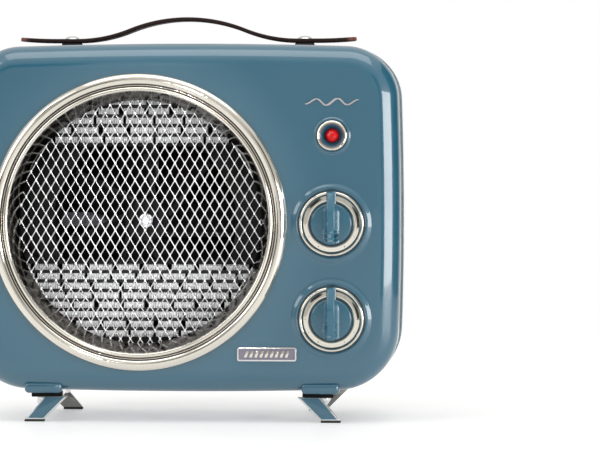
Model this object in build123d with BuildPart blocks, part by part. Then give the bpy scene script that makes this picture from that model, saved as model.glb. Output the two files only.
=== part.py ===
from build123d import *
from math import atan, atan2, cos, degrees, pi, radians, sin
import os

# A table-top ceramic fan heater in a retro radio shape: two painted shells, a round outlet with a bright
# ring and an expanded-metal grille, two turning knobs, a pilot lamp, a leather strap and two splayed feet.
# Millimetres. +X is to the right seen from the front, the front faces -Y and +Z is up.
# Z = 0 is the surface that the feet stand on. "Depth" is the distance behind the flat front face.

# ---------------------------------------------------------------- driving dimensions
# body
body_width = 310.0
body_height = 247.3
body_depth = 126.0
foot_height = 21.5
side_bow = 3.0
top_corner_r = 35.0
bottom_corner_r = 40.0
front_edge_r = 16.0
rear_edge_r = 14.0
wall = 2.4
front_shell_depth = 78.0
trim_width = 2.0
trim_proud = 1.0

# outlet: ring, grille and what holds them
outlet_x = -30.2
outlet_z = 142.2
ring_r = 105.4
ring_proud = 5.0
ring_band_in_r = 97.9
ring_lip_r = 92.5
ring_throat_r = 86.3
ring_sheet = 1.4
ring_foot = 1.4
ring_hole_gap = 0.7
grille_depth = 13.0
grille_thickness = 1.2
grille_rim_width = 7.5
diamond_width = 14.2
diamond_height = 23.8
strand_width = 1.2
retainer_thickness = 2.0
retainer_boss_r = 4.0
retainer_boss_gap = 1.2
retainer_count = 4
retainer_bite = 6.0

# heater: frame, aluminium fins, ceramic bars
heater_front = 20.0
heater_depth = 26.0
frame_size = 186.0
frame_corner_r = 6.0
bank_length = 164.0
fin_height = 4.6
fin_depth = 18.0
fin_setback = 3.0
bar_thickness = 2.2
bar_depth = 10.0
upper_rows = 5
lower_rows = 8
window_low = 112.0
window_high = 198.2
window_rib = 2.4
window_corner_r = 15.0
busbar_thickness = 1.5
tab_height = 6.3
tab_reach = 8.0
tab_slot_gap = 1.5
tab_spread = 16.0
tab_rise = 9.0
heater_screw_inset = 5.0

# fan
shroud_r = 66.0
shroud_wall = 2.5
shroud_flange = 2.0
shroud_length = 54.0
impeller_r = 62.0
impeller_hub_r = 18.0
hub_nose_r = 4.0
impeller_start = 52.0
impeller_length = 16.0
blade_count = 7
blade_thickness = 1.8
blade_angle = 52.0
motor_r = 25.0
motor_start = 71.0
motor_length = 20.0
motor_boss_r = 9.0
motor_boss_length = 8.0
motor_bore_gap = 0.8
bush_r = 6.0
bush_length = 6.0
motor_shaft_r = 2.5
shaft_stand = 4.0
shaft_tail = 1.0
running_gap = 0.05
bracket_thickness = 3.0
bracket_arm = 10.0
bracket_hub_r = 29.0
bracket_boss_gap = 0.5
motor_screw_circle = 18.0
motor_screw_rest = 1.0

# controls
control_x = 106.7
selector_z = 141.4
thermostat_z = 74.0
surround_gap = 1.0
surround_width = 3.3
surround_proud = 1.6
dial_gap = 0.5
dial_width = 8.0
dial_rim = 3.0
knob_r = 14.5
knob_proud = 17.0
knob_gap = 0.4
knob_skirt = 6.0
knob_ridge_base = 10.0
knob_ridge_top = 4.2
pointer_base = 5.4
pointer_top = 3.4
pointer_proud = 9.5
pointer_gap = 0.6
nut_room = 2.1
shaft_r = 3.0
shaft_tip = 13.0
shaft_end_gap = 0.5
bush_outer_r = 5.0
bush_hole_gap = 0.2
nut_r = 7.5
nut_height = 2.6
switch_width = 30.0
switch_depth = 20.0
thermostat_r = 17.0
thermostat_depth = 16.0

# pilot lamp
lamp_x = 107.0
lamp_z = 203.5
lamp_surround_r = 12.8
bezel_r = 10.9
bezel_bore_r = 8.0
bezel_proud = 2.2
lens_r = 4.7
lens_proud = 1.6
lens_gap = 0.5
lens_flange_r = 6.4
lens_flange = 2.0
lamp_seat_depth = 6.0
lamp_cone_depth = 3.0
lamp_body_length = 14.0

# badge and flourish
badge_x = 61.0
badge_z = 49.2
badge_width = 42.0
badge_height = 10.0
badge_thickness = 1.2
badge_rim = 0.9
badge_field_depth = 0.5
flourish_z = 227.2
flourish_length = 38.0
flourish_thickness = 0.5

# strap handle
strap_crown = 20.2
strap_thickness = 2.8
strap_width = 18.0
strap_length = 244.0
strap_rise = 15.5
strap_bend_end = 80.0
strap_crown_share = 0.52
strap_setback = 18.0
stud_x = 84.5
stud_head_r = 5.3
stud_head = 2.2
stud_r = 2.0
stud_hole_gap = 0.2
stud_tail = 9.0
pad_length = 13.0
pad_margin = 1.0
pad_corner_r = 2.0
stud_nut_r = 4.6
stud_nut = 3.0

# feet
foot_x = 98.6
leg_width = 14.1
leg_lean = 16.6
leg_top = 18.0
leg_thickness = 5.5
front_leg_depth = 9.0
rear_leg_depth = 112.0
rail_width = 10.0
rail_gap = 1.0
rail_low = 12.5
rail_high = 20.0
pad_thickness = 1.5
lug_width = 27.0
lug_height = 9.0
lug_depth = 13.0
lug_corner_r = 2.5
lug_setback = 2.0
lug_drop = 1.0
foot_screw_r = 2.0
foot_screw_head_r = 3.8
foot_screw_head = 2.5
foot_screw_inset = 22.0
foot_boss_r = 5.0
foot_boss_height = 14.0

# case screws and their pillars
case_screw_x = 132.0
case_screw_inset = 28.5
pillar_r = 5.0
screw_r = 1.6
screw_head_r = 3.5
screw_head = 2.4
case_head_depth = 26.0
case_bite = 14.0
shroud_screw_rest = 2.0
case_screw_reach = 10.0

# rear intake and mains inlet
intake_r = 70.0
intake_gap = 0.2
intake_flange_r = 75.0
intake_flange = 2.0
intake_ring_width = 2.6
intake_ring_pitch = 8.0
intake_spokes = 8
intake_hub_r = 13.0
gland_x = 112.0
gland_z = 50.0
gland_bore_r = 3.5
gland_neck_r = 6.5
gland_collar_r = 9.0
gland_collar = 3.0
gland_proud = 7.0
gland_tip_r = 5.5

# wiring
terminal_x = 112.0
terminal_z = 76.0
terminal_width = 34.0
terminal_depth = 14.0
terminal_height = 12.0
wire_r = 1.3
wire_bend = 9.0
cutout_r = 8.0
cutout_depth = 6.0

# ---------------------------------------------------------------- worked-out places
total_depth = knob_proud + body_depth + gland_proud
front_y = knob_proud - total_depth / 2
body_low = foot_height
body_high = foot_height + body_height
body_mid = (body_low + body_high) / 2
seam_depth = front_shell_depth + trim_width / 2
rear_start = front_shell_depth + trim_width
heater_back = heater_front + heater_depth
flange_back = heater_back + shroud_flange
ring_hole_r = ring_band_in_r - ring_foot
ring_flange_r = ring_hole_r - ring_hole_gap
grille_r = ring_flange_r
grille_back = grille_depth + grille_thickness
retainer_back = grille_back + retainer_thickness
retainer_circle = ring_hole_r + retainer_boss_gap / 2 + retainer_boss_r
dial_bore_r = knob_r + dial_gap
dial_r = dial_bore_r + dial_width
surround_r = dial_r + surround_gap + surround_width
knob_recess_r = nut_r + nut_room
fin_pitch = fin_height + bar_thickness
upper_height = upper_rows * fin_pitch - bar_thickness
lower_height = lower_rows * fin_pitch - bar_thickness
upper_mid = window_high + upper_height / 2
lower_mid = window_low - lower_height / 2
bank_width = bank_length + 2 * busbar_thickness
heater_screw = frame_size / 2 - heater_screw_inset
strap_top = body_high + strap_crown
strap_y = front_y + front_shell_depth - strap_setback
strap_low = strap_top - strap_rise - strap_thickness
controls = {"selector": selector_z, "thermostat": thermostat_z}
case_points = [
    (x, z)
    for x in (-case_screw_x, case_screw_x)
    for z in (body_low + case_screw_inset, body_high - case_screw_inset)
]
heater_points = [
    (outlet_x + x, outlet_z + z)
    for x in (-heater_screw, heater_screw)
    for z in (-heater_screw, heater_screw)
]
foot_screw_depths = (front_leg_depth + foot_screw_inset, rear_leg_depth + leg_thickness - foot_screw_inset)


# ---------------------------------------------------------------- planes and shared shapes
def facing(depth, x=0.0, z=0.0):
    """An upright plane that faces the front, `depth` behind the front face and centred on (x, z)."""
    return Plane(origin=(x, front_y + depth, z), x_dir=(1, 0, 0), z_dir=(0, -1, 0))


def lathe(x, z):
    """The plane of a turned section: its x is the radius and its y is the depth."""
    return Plane(origin=(x, front_y, z), x_dir=(1, 0, 0), z_dir=(0, 0, 1))


def turning_axis(x, z):
    return Axis((x, front_y, z), (0, 1, 0))


def level(z, x=0.0, y=0.0):
    """A level plane at height z."""
    return Plane(origin=(x, y, z), x_dir=(1, 0, 0), z_dir=(0, 0, 1))


def body_outline(inset=0.0):
    """The body seen from the front: a rectangle with bowed sides and round corners."""
    side = body_width / 2 - inset
    low = body_low + inset
    high = body_high - inset
    corner_x = side - side_bow
    corner_low = low + side_bow
    corner_high = high - side_bow
    with BuildSketch() as outline:
        with BuildLine():
            ThreePointArc((-corner_x, corner_low), (0, low), (corner_x, corner_low))
            ThreePointArc((corner_x, corner_low), (side, body_mid), (corner_x, corner_high))
            ThreePointArc((corner_x, corner_high), (0, high), (-corner_x, corner_high))
            ThreePointArc((-corner_x, corner_high), (-side, body_mid), (-corner_x, corner_low))
        make_face()
        fillet(outline.vertices().group_by(Axis.Y)[0], bottom_corner_r - inset)
        fillet(outline.vertices().group_by(Axis.Y)[-1], top_corner_r - inset)
    return outline.sketch


def body_block(start, end, inset, edge_r, round_end):
    """A solid slice of the body from one depth to another, with the edge of its outer end rounded."""
    with BuildPart() as block:
        with BuildSketch(facing(start)):
            add(body_outline(inset))
        extrude(amount=start - end)
        outer_end = block.faces().filter_by(Axis.Y).sort_by(Axis.Y)[round_end]
        fillet(outer_end.edges(), edge_r)
    return block.part


def spacer(points, start, end, radius, bore=0.0):
    """Round pillars along the depth, one at each point, bored right through where a bore is given."""
    with BuildPart() as pillars:
        with BuildSketch(facing(start)):
            with Locations(*points):
                Circle(radius)
                if bore:
                    Circle(bore, mode=Mode.SUBTRACT)
        extrude(amount=start - end)
    return pillars.part


def screws(points, head_start, length, stem_r=screw_r, head_r=screw_head_r, head=screw_head):
    """Pan-head screws driven from behind: the head lies behind `head_start`, the stem runs to the front."""
    with BuildPart() as group:
        with BuildSketch(facing(head_start)):
            with Locations(*points):
                Circle(stem_r)
        extrude(amount=length)
        with BuildSketch(facing(head_start)):
            with Locations(*points):
                Circle(head_r)
        extrude(amount=-head)
        fillet(group.faces().filter_by(Axis.Y).group_by(Axis.Y)[-1].edges(), head / 3)
    return group.part


front_block = body_block(0, front_shell_depth, 0, front_edge_r, 0)
front_cavity = body_block(wall, front_shell_depth, wall, front_edge_r - wall, 0)
rear_block = body_block(rear_start, body_depth, 0, rear_edge_r, -1)
rear_cavity = body_block(rear_start, body_depth - wall, wall, rear_edge_r - wall, -1)
retainer_points = [
    (
        outlet_x + retainer_circle * cos(pi * (2 * i + 1) / retainer_count),
        outlet_z + retainer_circle * sin(pi * (2 * i + 1) / retainer_count),
    )
    for i in range(retainer_count)
]

# ---------------------------------------------------------------- front shell
# a lug over each front leg, on the outside of the lower front edge
with BuildPart() as lugs:
    with BuildSketch(level(body_low - lug_drop)):
        with Locations(*[(x, front_y + lug_depth / 2 + lug_setback) for x in (-foot_x, foot_x)]):
            RectangleRounded(lug_width, lug_depth, lug_corner_r)
    extrude(amount=lug_height)
    add(front_cavity, mode=Mode.SUBTRACT)

# Pillars and bosses are cut to the body's outer form first, so that none shows through a round edge.
with BuildPart() as front_shell:
    add(spacer(case_points, wall / 2, seam_depth, pillar_r))
    add(spacer(heater_points, wall / 2, heater_front, pillar_r))
    add(spacer(retainer_points, wall / 2, grille_back, retainer_boss_r))
    add(spacer([(lamp_x, lamp_z)], wall / 2, lamp_seat_depth, bezel_r))
    with BuildSketch(level(body_low)):
        with Locations(*[(x, front_y + foot_screw_depths[0]) for x in (-foot_x, foot_x)]):
            Circle(foot_boss_r)
    extrude(amount=foot_boss_height)
    add(body_block(0, seam_depth, 0, front_edge_r, 0), mode=Mode.INTERSECT)
    add(front_block - front_cavity)
    add(lugs.part)
    # rolled surrounds of the two dials and of the lamp
    for z in controls.values():
        with BuildSketch(lathe(control_x, z)):
            with Locations((surround_r - surround_width / 2, 0)):
                Ellipse(surround_width / 2, surround_proud)
        revolve(axis=turning_axis(control_x, z))
    with BuildSketch(lathe(lamp_x, lamp_z)):
        with Locations(((lamp_surround_r + bezel_r) / 2, 0)):
            Ellipse((lamp_surround_r - bezel_r) / 2, surround_proud / 2)
    revolve(axis=turning_axis(lamp_x, lamp_z))
    # the outlet, the control holes and the lamp's cone
    with BuildSketch(facing(0)):
        with Locations((outlet_x, outlet_z)):
            Circle(ring_hole_r)
        with Locations(*[(control_x, z) for z in controls.values()]):
            Circle(bush_outer_r + bush_hole_gap)
    extrude(amount=-2 * wall, mode=Mode.SUBTRACT)
    with BuildSketch(lathe(lamp_x, lamp_z)):
        lens_hole = lens_r + lens_gap
        Polygon(
            (0, -surround_proud),
            (bezel_bore_r, -surround_proud),
            (bezel_bore_r, 0),
            (lens_hole, lamp_cone_depth),
            (lens_hole, lamp_seat_depth + wall),
            (0, lamp_seat_depth + wall),
            align=None,
        )
    revolve(axis=turning_axis(lamp_x, lamp_z), mode=Mode.SUBTRACT)
    # screw holes
    add(spacer(case_points, seam_depth - case_bite, seam_depth, screw_r), mode=Mode.SUBTRACT)
    add(spacer(heater_points, heater_front - case_bite, heater_front, screw_r), mode=Mode.SUBTRACT)
    add(spacer(retainer_points, 2 * wall, grille_back, screw_r), mode=Mode.SUBTRACT)
    with BuildSketch(level(body_low)):
        with Locations(*[(x, front_y + foot_screw_depths[0]) for x in (-foot_x, foot_x)]):
            Circle(foot_screw_r)
    extrude(amount=foot_boss_height - wall, mode=Mode.SUBTRACT)
    with BuildSketch(level(body_high)):
        with Locations((-stud_x, strap_y), (stud_x, strap_y)):
            Circle(stud_r + stud_hole_gap)
    extrude(amount=-front_edge_r / 2, mode=Mode.SUBTRACT)


# ---------------------------------------------------------------- rear shell and seam trim
with BuildPart() as rear_shell:
    add(spacer(case_points, seam_depth, body_depth - wall / 2, pillar_r))
    with BuildSketch(level(body_low)):
        with Locations(*[(x, front_y + foot_screw_depths[1]) for x in (-foot_x, foot_x)]):
            Circle(foot_boss_r)
    extrude(amount=foot_boss_height)
    add(body_block(seam_depth, body_depth, 0, rear_edge_r, -1), mode=Mode.INTERSECT)
    add(rear_block - rear_cavity)
    with BuildSketch(facing(body_depth)):
        with Locations((outlet_x, outlet_z)):
            Circle(intake_r + intake_gap)
        with Locations((gland_x, gland_z)):
            Circle(gland_neck_r)
    extrude(amount=2 * wall, mode=Mode.SUBTRACT)
    # screw holes: a clear hole and a wider well from behind
    add(spacer(case_points, seam_depth, body_depth, screw_r), mode=Mode.SUBTRACT)
    add(spacer(case_points, body_depth - case_head_depth, body_depth, screw_head_r), mode=Mode.SUBTRACT)
    with BuildSketch(level(body_low)):
        with Locations(*[(x, front_y + foot_screw_depths[1]) for x in (-foot_x, foot_x)]):
            Circle(foot_screw_r)
    extrude(amount=foot_boss_height - wall, mode=Mode.SUBTRACT)

with BuildPart() as seam_trim:
    with BuildSketch(facing(front_shell_depth)):
        add(body_outline(-trim_proud))
        add(body_outline(wall), mode=Mode.SUBTRACT)
    extrude(amount=-trim_width)

# ---------------------------------------------------------------- outlet ring, grille and retainer
with BuildPart() as grille_ring:
    with BuildSketch(lathe(outlet_x, outlet_z)):
        with BuildLine():
            Polyline((ring_band_in_r, 0), (ring_r, 0), (ring_r, -ring_foot / 2))
            ThreePointArc(
                (ring_r, -ring_foot / 2),
                ((ring_r + ring_band_in_r) / 2 + ring_foot / 2, -ring_proud),
                (ring_band_in_r, -ring_proud * 0.66),
            )
            groove = (ring_band_in_r - ring_foot, -ring_proud * 0.5)
            Line((ring_band_in_r, -ring_proud * 0.66), groove)
            ThreePointArc(
                groove,
                ((groove[0] + ring_lip_r) / 2, -ring_proud * 0.9),
                (ring_lip_r, -ring_proud * 0.5),
            )
            Polyline(
                (ring_lip_r, -ring_proud * 0.5),
                (ring_throat_r, grille_depth),
                (ring_flange_r, grille_depth),
                (ring_flange_r, grille_depth - ring_sheet),
                (ring_throat_r + ring_sheet, grille_depth - ring_sheet),
                (ring_lip_r + ring_sheet, 0),
                (ring_band_in_r, 0),
            )
        make_face()
    revolve(axis=turning_axis(outlet_x, outlet_z))

with BuildPart() as grille_mesh:
    lean = degrees(atan2(diamond_height, diamond_width))
    spacing = diamond_width * sin(radians(lean))
    strand_count = 2 * int(grille_r / spacing) + 1
    with BuildSketch(facing(grille_depth, outlet_x, outlet_z)) as lattice:
        for angle in (90 - lean, lean - 90):
            with Locations(Location((0, 0, 0), (0, 0, angle))):
                with GridLocations(spacing, 0, strand_count, 1):
                    Rectangle(strand_width, 2 * grille_r)
        Circle(grille_r, mode=Mode.INTERSECT)
        Circle(grille_r)
        Circle(grille_r - grille_rim_width, mode=Mode.SUBTRACT)
        for angle in (90 - lean, lean - 90):
            with Locations(Location((0, 0, 0), (0, 0, angle))):
                with GridLocations(spacing, 0, strand_count, 1):
                    Rectangle(strand_width, 2 * grille_r - 2 * grille_rim_width)
        Circle(grille_r, mode=Mode.INTERSECT)
    extrude(amount=-grille_thickness)

with BuildPart() as mesh_retainer:
    with BuildSketch(facing(grille_back)):
        with Locations((outlet_x, outlet_z)):
            Circle(retainer_circle)
        with Locations(*retainer_points):
            Circle(retainer_boss_r + retainer_boss_gap)
        with Locations((outlet_x, outlet_z)):
            Circle(grille_r - grille_rim_width, mode=Mode.SUBTRACT)
        with Locations(*retainer_points):
            Circle(screw_r, mode=Mode.SUBTRACT)
    extrude(amount=-retainer_thickness)

retainer_screws = screws(retainer_points, retainer_back, retainer_thickness + retainer_bite)

# ---------------------------------------------------------------- heater
with BuildPart() as heater_frame:
    with BuildSketch(facing(heater_front, outlet_x, outlet_z)):
        RectangleRounded(frame_size, frame_size, frame_corner_r)
        with Locations((0, upper_mid - outlet_z)):
            Rectangle(bank_width, upper_height, mode=Mode.SUBTRACT)
        with Locations((0, lower_mid - outlet_z)):
            Rectangle(bank_width, lower_height, mode=Mode.SUBTRACT)
        with Locations((0, (window_low + window_high) / 2 - outlet_z)):
            RectangleRounded(
                bank_width,
                window_high - window_low - 2 * window_rib,
                window_corner_r,
                mode=Mode.SUBTRACT,
            )
        with GridLocations(2 * heater_screw, 2 * heater_screw, 2, 2):
            Circle(screw_r, mode=Mode.SUBTRACT)
    extrude(amount=-heater_depth)


def fin_bank(mid, rows):
    """Rows of aluminium fins, one above the other, with room for a ceramic bar between two rows."""
    with BuildPart() as bank:
        with BuildSketch(facing(heater_front + fin_setback, outlet_x, mid)):
            with GridLocations(0, fin_pitch, 1, rows):
                Rectangle(bank_length, fin_height)
        extrude(amount=-fin_depth)
    return bank.part


def ceramic_bars(mid, rows):
    """The flat ceramic heating bars between the rows of fins."""
    start = heater_front + fin_setback + (fin_depth - bar_depth) / 2
    with BuildPart() as bars:
        with BuildSketch(facing(start, outlet_x, mid)):
            with GridLocations(0, fin_pitch, 1, rows - 1):
                Rectangle(bank_length, bar_thickness)
        extrude(amount=-bar_depth)
    return bars.part


with BuildPart() as busbars:
    for mid, height in ((upper_mid, upper_height), (lower_mid, lower_height)):
        with BuildSketch(facing(heater_front + fin_setback, outlet_x, mid)):
            with GridLocations(bank_length + busbar_thickness, 0, 2, 1):
                Rectangle(busbar_thickness, height)
        extrude(amount=-fin_depth)
        with BuildSketch(facing(heater_front + fin_setback + fin_depth, outlet_x, mid)):
            with GridLocations(bank_length + busbar_thickness, 0, 2, 1):
                Rectangle(busbar_thickness, tab_height)
        extrude(amount=-(flange_back + tab_reach - heater_front - fin_setback - fin_depth))

# ---------------------------------------------------------------- fan
with BuildPart() as fan_shroud:
    with BuildSketch(facing(heater_back, outlet_x, outlet_z)):
        RectangleRounded(frame_size, frame_size, frame_corner_r)
        Circle(shroud_r, mode=Mode.SUBTRACT)
        with GridLocations(2 * heater_screw, 2 * heater_screw, 2, 2):
            Circle(screw_r, mode=Mode.SUBTRACT)
        for mid in (upper_mid, lower_mid):
            with Locations((0, mid - outlet_z)):
                with GridLocations(bank_length + busbar_thickness, 0, 2, 1):
                    slot = (busbar_thickness + 2 * tab_slot_gap, tab_height + 2 * tab_slot_gap)
                    Rectangle(*slot, mode=Mode.SUBTRACT)
    extrude(amount=-shroud_flange)
    with BuildSketch(facing(heater_back, outlet_x, outlet_z)):
        Circle(shroud_r + shroud_wall)
        Circle(shroud_r, mode=Mode.SUBTRACT)
    extrude(amount=-shroud_length)

shroud_screws = screws(heater_points, flange_back, flange_back - heater_front + case_bite - shroud_screw_rest)

bracket_front = motor_start + motor_length
with BuildPart() as motor_bracket:
    with BuildSketch(facing(bracket_front, outlet_x, outlet_z)):
        Rectangle(2 * shroud_r + 2, bracket_arm)
        Rectangle(bracket_arm, 2 * shroud_r + 2)
        Circle(bracket_hub_r)
        Circle(shroud_r, mode=Mode.INTERSECT)
        Circle(motor_boss_r + bracket_boss_gap, mode=Mode.SUBTRACT)
        with GridLocations(2 * motor_screw_circle, 0, 2, 1):
            Circle(screw_r, mode=Mode.SUBTRACT)
    extrude(amount=-bracket_thickness)

with BuildPart() as fan_motor:
    with BuildSketch(facing(motor_start, outlet_x, outlet_z)):
        Circle(motor_r)
    extrude(amount=-motor_length)
    fillet(fan_motor.faces().filter_by(Axis.Y).sort_by(Axis.Y)[0].edges(), 2.5)
    with BuildSketch(facing(bracket_front, outlet_x, outlet_z)):
        Circle(motor_boss_r)
    extrude(amount=-motor_boss_length)
    with BuildSketch(facing(motor_start, outlet_x, outlet_z)):
        Circle(motor_shaft_r + motor_bore_gap)
    extrude(amount=-(motor_length + motor_boss_length), mode=Mode.SUBTRACT)
    with BuildSketch(facing(motor_start, outlet_x, outlet_z)):
        Circle(bush_r)
    extrude(amount=-bush_length, mode=Mode.SUBTRACT)
    with BuildSketch(facing(bracket_front + motor_boss_length, outlet_x, outlet_z)):
        Circle(bush_r)
    extrude(amount=bush_length, mode=Mode.SUBTRACT)
    with BuildSketch(facing(bracket_front, outlet_x, outlet_z)):
        with GridLocations(2 * motor_screw_circle, 0, 2, 1):
            Circle(screw_r)
    extrude(amount=motor_length / 2, mode=Mode.SUBTRACT)

with BuildPart() as motor_bushes:
    for start in (motor_start, bracket_front + motor_boss_length - bush_length):
        with BuildSketch(facing(start, outlet_x, outlet_z)):
            Circle(bush_r)
            Circle(motor_shaft_r + running_gap, mode=Mode.SUBTRACT)
        extrude(amount=-bush_length)

motor_screw_points = [(outlet_x + x, outlet_z) for x in (-motor_screw_circle, motor_screw_circle)]
motor_screws = screws(
    motor_screw_points, bracket_front + bracket_thickness, bracket_thickness + motor_length / 2 - motor_screw_rest
)

shaft_start = impeller_start - shaft_stand
with BuildPart() as motor_shaft:
    with BuildSketch(facing(shaft_start, outlet_x, outlet_z)):
        Circle(motor_shaft_r)
    extrude(amount=shaft_start - (bracket_front + motor_boss_length + shaft_tail))

with BuildPart() as blades:
    with Locations(facing(impeller_start + impeller_length / 2, outlet_x, outlet_z)):
        with PolarLocations((impeller_r + impeller_hub_r) / 2, blade_count):
            Box(
                impeller_r - impeller_hub_r + impeller_hub_r / 2,
                blade_thickness,
                2 * impeller_length,
                rotation=(blade_angle, 0, 0),
            )
    with BuildSketch(facing(impeller_start, outlet_x, outlet_z)):
        Circle(impeller_r)
    extrude(amount=-impeller_length, mode=Mode.INTERSECT)

with BuildPart() as impeller:
    with BuildSketch(facing(impeller_start, outlet_x, outlet_z)):
        Circle(impeller_hub_r)
    extrude(amount=-impeller_length)
    fillet(impeller.faces().filter_by(Axis.Y).sort_by(Axis.Y)[0].edges(), hub_nose_r)
    add(blades.part)
    with BuildSketch(facing(impeller_start, outlet_x, outlet_z)):
        Circle(motor_shaft_r)
    extrude(amount=-impeller_length, mode=Mode.SUBTRACT)

with BuildPart() as impeller_clip:
    with BuildSketch(facing(impeller_start, outlet_x, outlet_z)):
        Circle(2 * motor_shaft_r)
        Circle(motor_shaft_r, mode=Mode.SUBTRACT)
    extrude(amount=2.0)


# ---------------------------------------------------------------- controls
def turning_knob(z):
    """A knob with a skirt, a tall grip ridge across it and a pointer that reaches over the dial ring."""
    skirt_front = -knob_gap - knob_skirt
    with BuildPart() as knob:
        with BuildSketch(level(z - knob_r, control_x, front_y)):
            Polygon(
                (-knob_ridge_base / 2, -knob_gap),
                (knob_ridge_base / 2, -knob_gap),
                (knob_ridge_base / 2, skirt_front),
                (knob_ridge_top / 2, -knob_proud),
                (-knob_ridge_top / 2, -knob_proud),
                (-knob_ridge_base / 2, skirt_front),
                align=None,
            )
        extrude(amount=2 * knob_r)
        with BuildSketch(facing(0, control_x, z)):
            Circle(knob_r)
        extrude(amount=knob_proud, mode=Mode.INTERSECT)
        with BuildSketch(facing(-knob_gap, control_x, z)):
            Circle(knob_r)
        extrude(amount=knob_skirt, taper=4)
        with BuildSketch(level(z, control_x, front_y)):
            Polygon(
                (-pointer_base / 2, -dial_rim - pointer_gap),
                (pointer_base / 2, -dial_rim - pointer_gap),
                (pointer_top / 2, -pointer_proud),
                (-pointer_top / 2, -pointer_proud),
                align=None,
            )
        extrude(amount=dial_r)
        with BuildSketch(facing(0, control_x, z)):
            Circle(knob_recess_r)
        extrude(amount=nut_height + knob_gap + pointer_gap, mode=Mode.SUBTRACT)
        with BuildSketch(facing(0, control_x, z)):
            Circle(shaft_r)
        extrude(amount=shaft_tip, mode=Mode.SUBTRACT)
    return knob.part


def control_shaft(z, depth):
    with BuildPart() as shaft:
        with BuildSketch(facing(depth, control_x, z)):
            Circle(shaft_r)
        extrude(amount=depth + shaft_tip)
    return shaft.part


def dial_ring(z):
    """A bright dished ring with a raised rim, fixed around the knob."""
    with BuildPart() as dial:
        with BuildSketch(lathe(control_x, z)):
            Polygon(
                (dial_bore_r, 0),
                (dial_r, 0),
                (dial_r, -dial_rim * 0.75),
                (dial_r - dial_rim * 0.25, -dial_rim),
                (dial_r - dial_rim * 0.6, -dial_rim),
                (dial_r - dial_rim * 1.1, -dial_rim * 0.6),
                (dial_bore_r + dial_rim * 0.2, -dial_rim * 0.45),
                (dial_bore_r, -dial_rim * 0.3),
                align=None,
            )
        revolve(axis=turning_axis(control_x, z))
    return dial.part


with BuildPart() as rotary_switch:
    with BuildSketch(facing(wall, control_x, selector_z)):
        RectangleRounded(switch_width, switch_width, 3)
    extrude(amount=-switch_depth)
    with BuildSketch(facing(wall, control_x, selector_z)):
        Circle(bush_outer_r)
    extrude(amount=wall + nut_height)
    with BuildSketch(facing(wall + switch_depth, control_x, selector_z)):
        with GridLocations(tab_spread, tab_rise, 2, 2):
            Rectangle(tab_height, 0.8)
    extrude(amount=-tab_reach)
    with BuildSketch(facing(-nut_height, control_x, selector_z)):
        Circle(shaft_r + running_gap)
    extrude(amount=-(nut_height + wall + switch_depth / 2), mode=Mode.SUBTRACT)

with BuildPart() as thermostat:
    with BuildSketch(facing(wall, control_x, thermostat_z)):
        Circle(thermostat_r)
    extrude(amount=-thermostat_depth)
    with BuildSketch(facing(wall, control_x, thermostat_z)):
        Circle(bush_outer_r)
    extrude(amount=wall + nut_height)
    with BuildSketch(facing(wall + thermostat_depth, control_x, thermostat_z)):
        with GridLocations(tab_spread, 0, 2, 1):
            Rectangle(0.8, tab_height)
    extrude(amount=-tab_reach)
    with BuildSketch(facing(-nut_height, control_x, thermostat_z)):
        Circle(shaft_r + running_gap)
    extrude(amount=-(nut_height + wall + thermostat_depth / 2), mode=Mode.SUBTRACT)

with BuildPart() as control_nuts:
    for z in controls.values():
        with BuildSketch(facing(0, control_x, z)):
            RegularPolygon(nut_r, 6)
            Circle(bush_outer_r, mode=Mode.SUBTRACT)
        extrude(amount=nut_height)

# ---------------------------------------------------------------- pilot lamp
with BuildPart() as lamp_bezel:
    with BuildSketch(lathe(lamp_x, lamp_z)):
        with BuildLine():
            Polyline((bezel_bore_r, 0), (bezel_r, 0), (bezel_r, -bezel_proud / 3))
            ThreePointArc(
                (bezel_r, -bezel_proud / 3),
                ((bezel_r + bezel_bore_r) / 2, -bezel_proud),
                (bezel_bore_r, -bezel_proud / 2),
            )
            Line((bezel_bore_r, -bezel_proud / 2), (bezel_bore_r, 0))
        make_face()
    revolve(axis=turning_axis(lamp_x, lamp_z))

with BuildPart() as lamp_lens:
    lens_back = lamp_seat_depth + lens_flange
    with BuildSketch(lathe(lamp_x, lamp_z)):
        with BuildLine():
            crown = Vector(0, -lens_proud)
            shoulder = Vector(lens_r, lens_proud)
            between = Vector(lens_r * sin(radians(45)), lens_proud - 2 * lens_proud * cos(radians(45)))
            ThreePointArc(crown, between, shoulder)
            Polyline(
                shoulder,
                (lens_r, lamp_seat_depth),
                (lens_flange_r, lamp_seat_depth),
                (lens_flange_r, lens_back),
                (0, lens_back),
                crown,
            )
        make_face()
    revolve(axis=turning_axis(lamp_x, lamp_z))

with BuildPart() as lamp_body:
    with BuildSketch(facing(lens_back, lamp_x, lamp_z)):
        Circle(lens_flange_r)
    extrude(amount=-lamp_body_length)
    with BuildSketch(facing(lens_back + lamp_body_length, lamp_x, lamp_z)):
        with GridLocations(0, lens_flange_r, 1, 2):
            Rectangle(tab_height / 2, 0.8)
    extrude(amount=-tab_reach)

# ---------------------------------------------------------------- badge and flourish
with BuildPart() as badge_plate:
    with BuildSketch(facing(0, badge_x, badge_z)):
        RectangleRounded(badge_width, badge_height, 1.5)
    extrude(amount=badge_thickness)
    with BuildSketch(facing(-badge_thickness, badge_x, badge_z)):
        RectangleRounded(badge_width - 2 * badge_rim, badge_height - 2 * badge_rim, 1.0)
    extrude(amount=-badge_field_depth, mode=Mode.SUBTRACT)

with BuildSketch() as swoosh:
    with BuildLine():
        tip = (flourish_length / 2, flourish_length * 0.04)
        root = (flourish_length * 0.07, 0)
        ThreePointArc(root, (flourish_length * 0.27, -flourish_length * 0.075), tip)
        ThreePointArc(tip, (flourish_length * 0.27, -flourish_length * 0.04), root)
    make_face()

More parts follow.
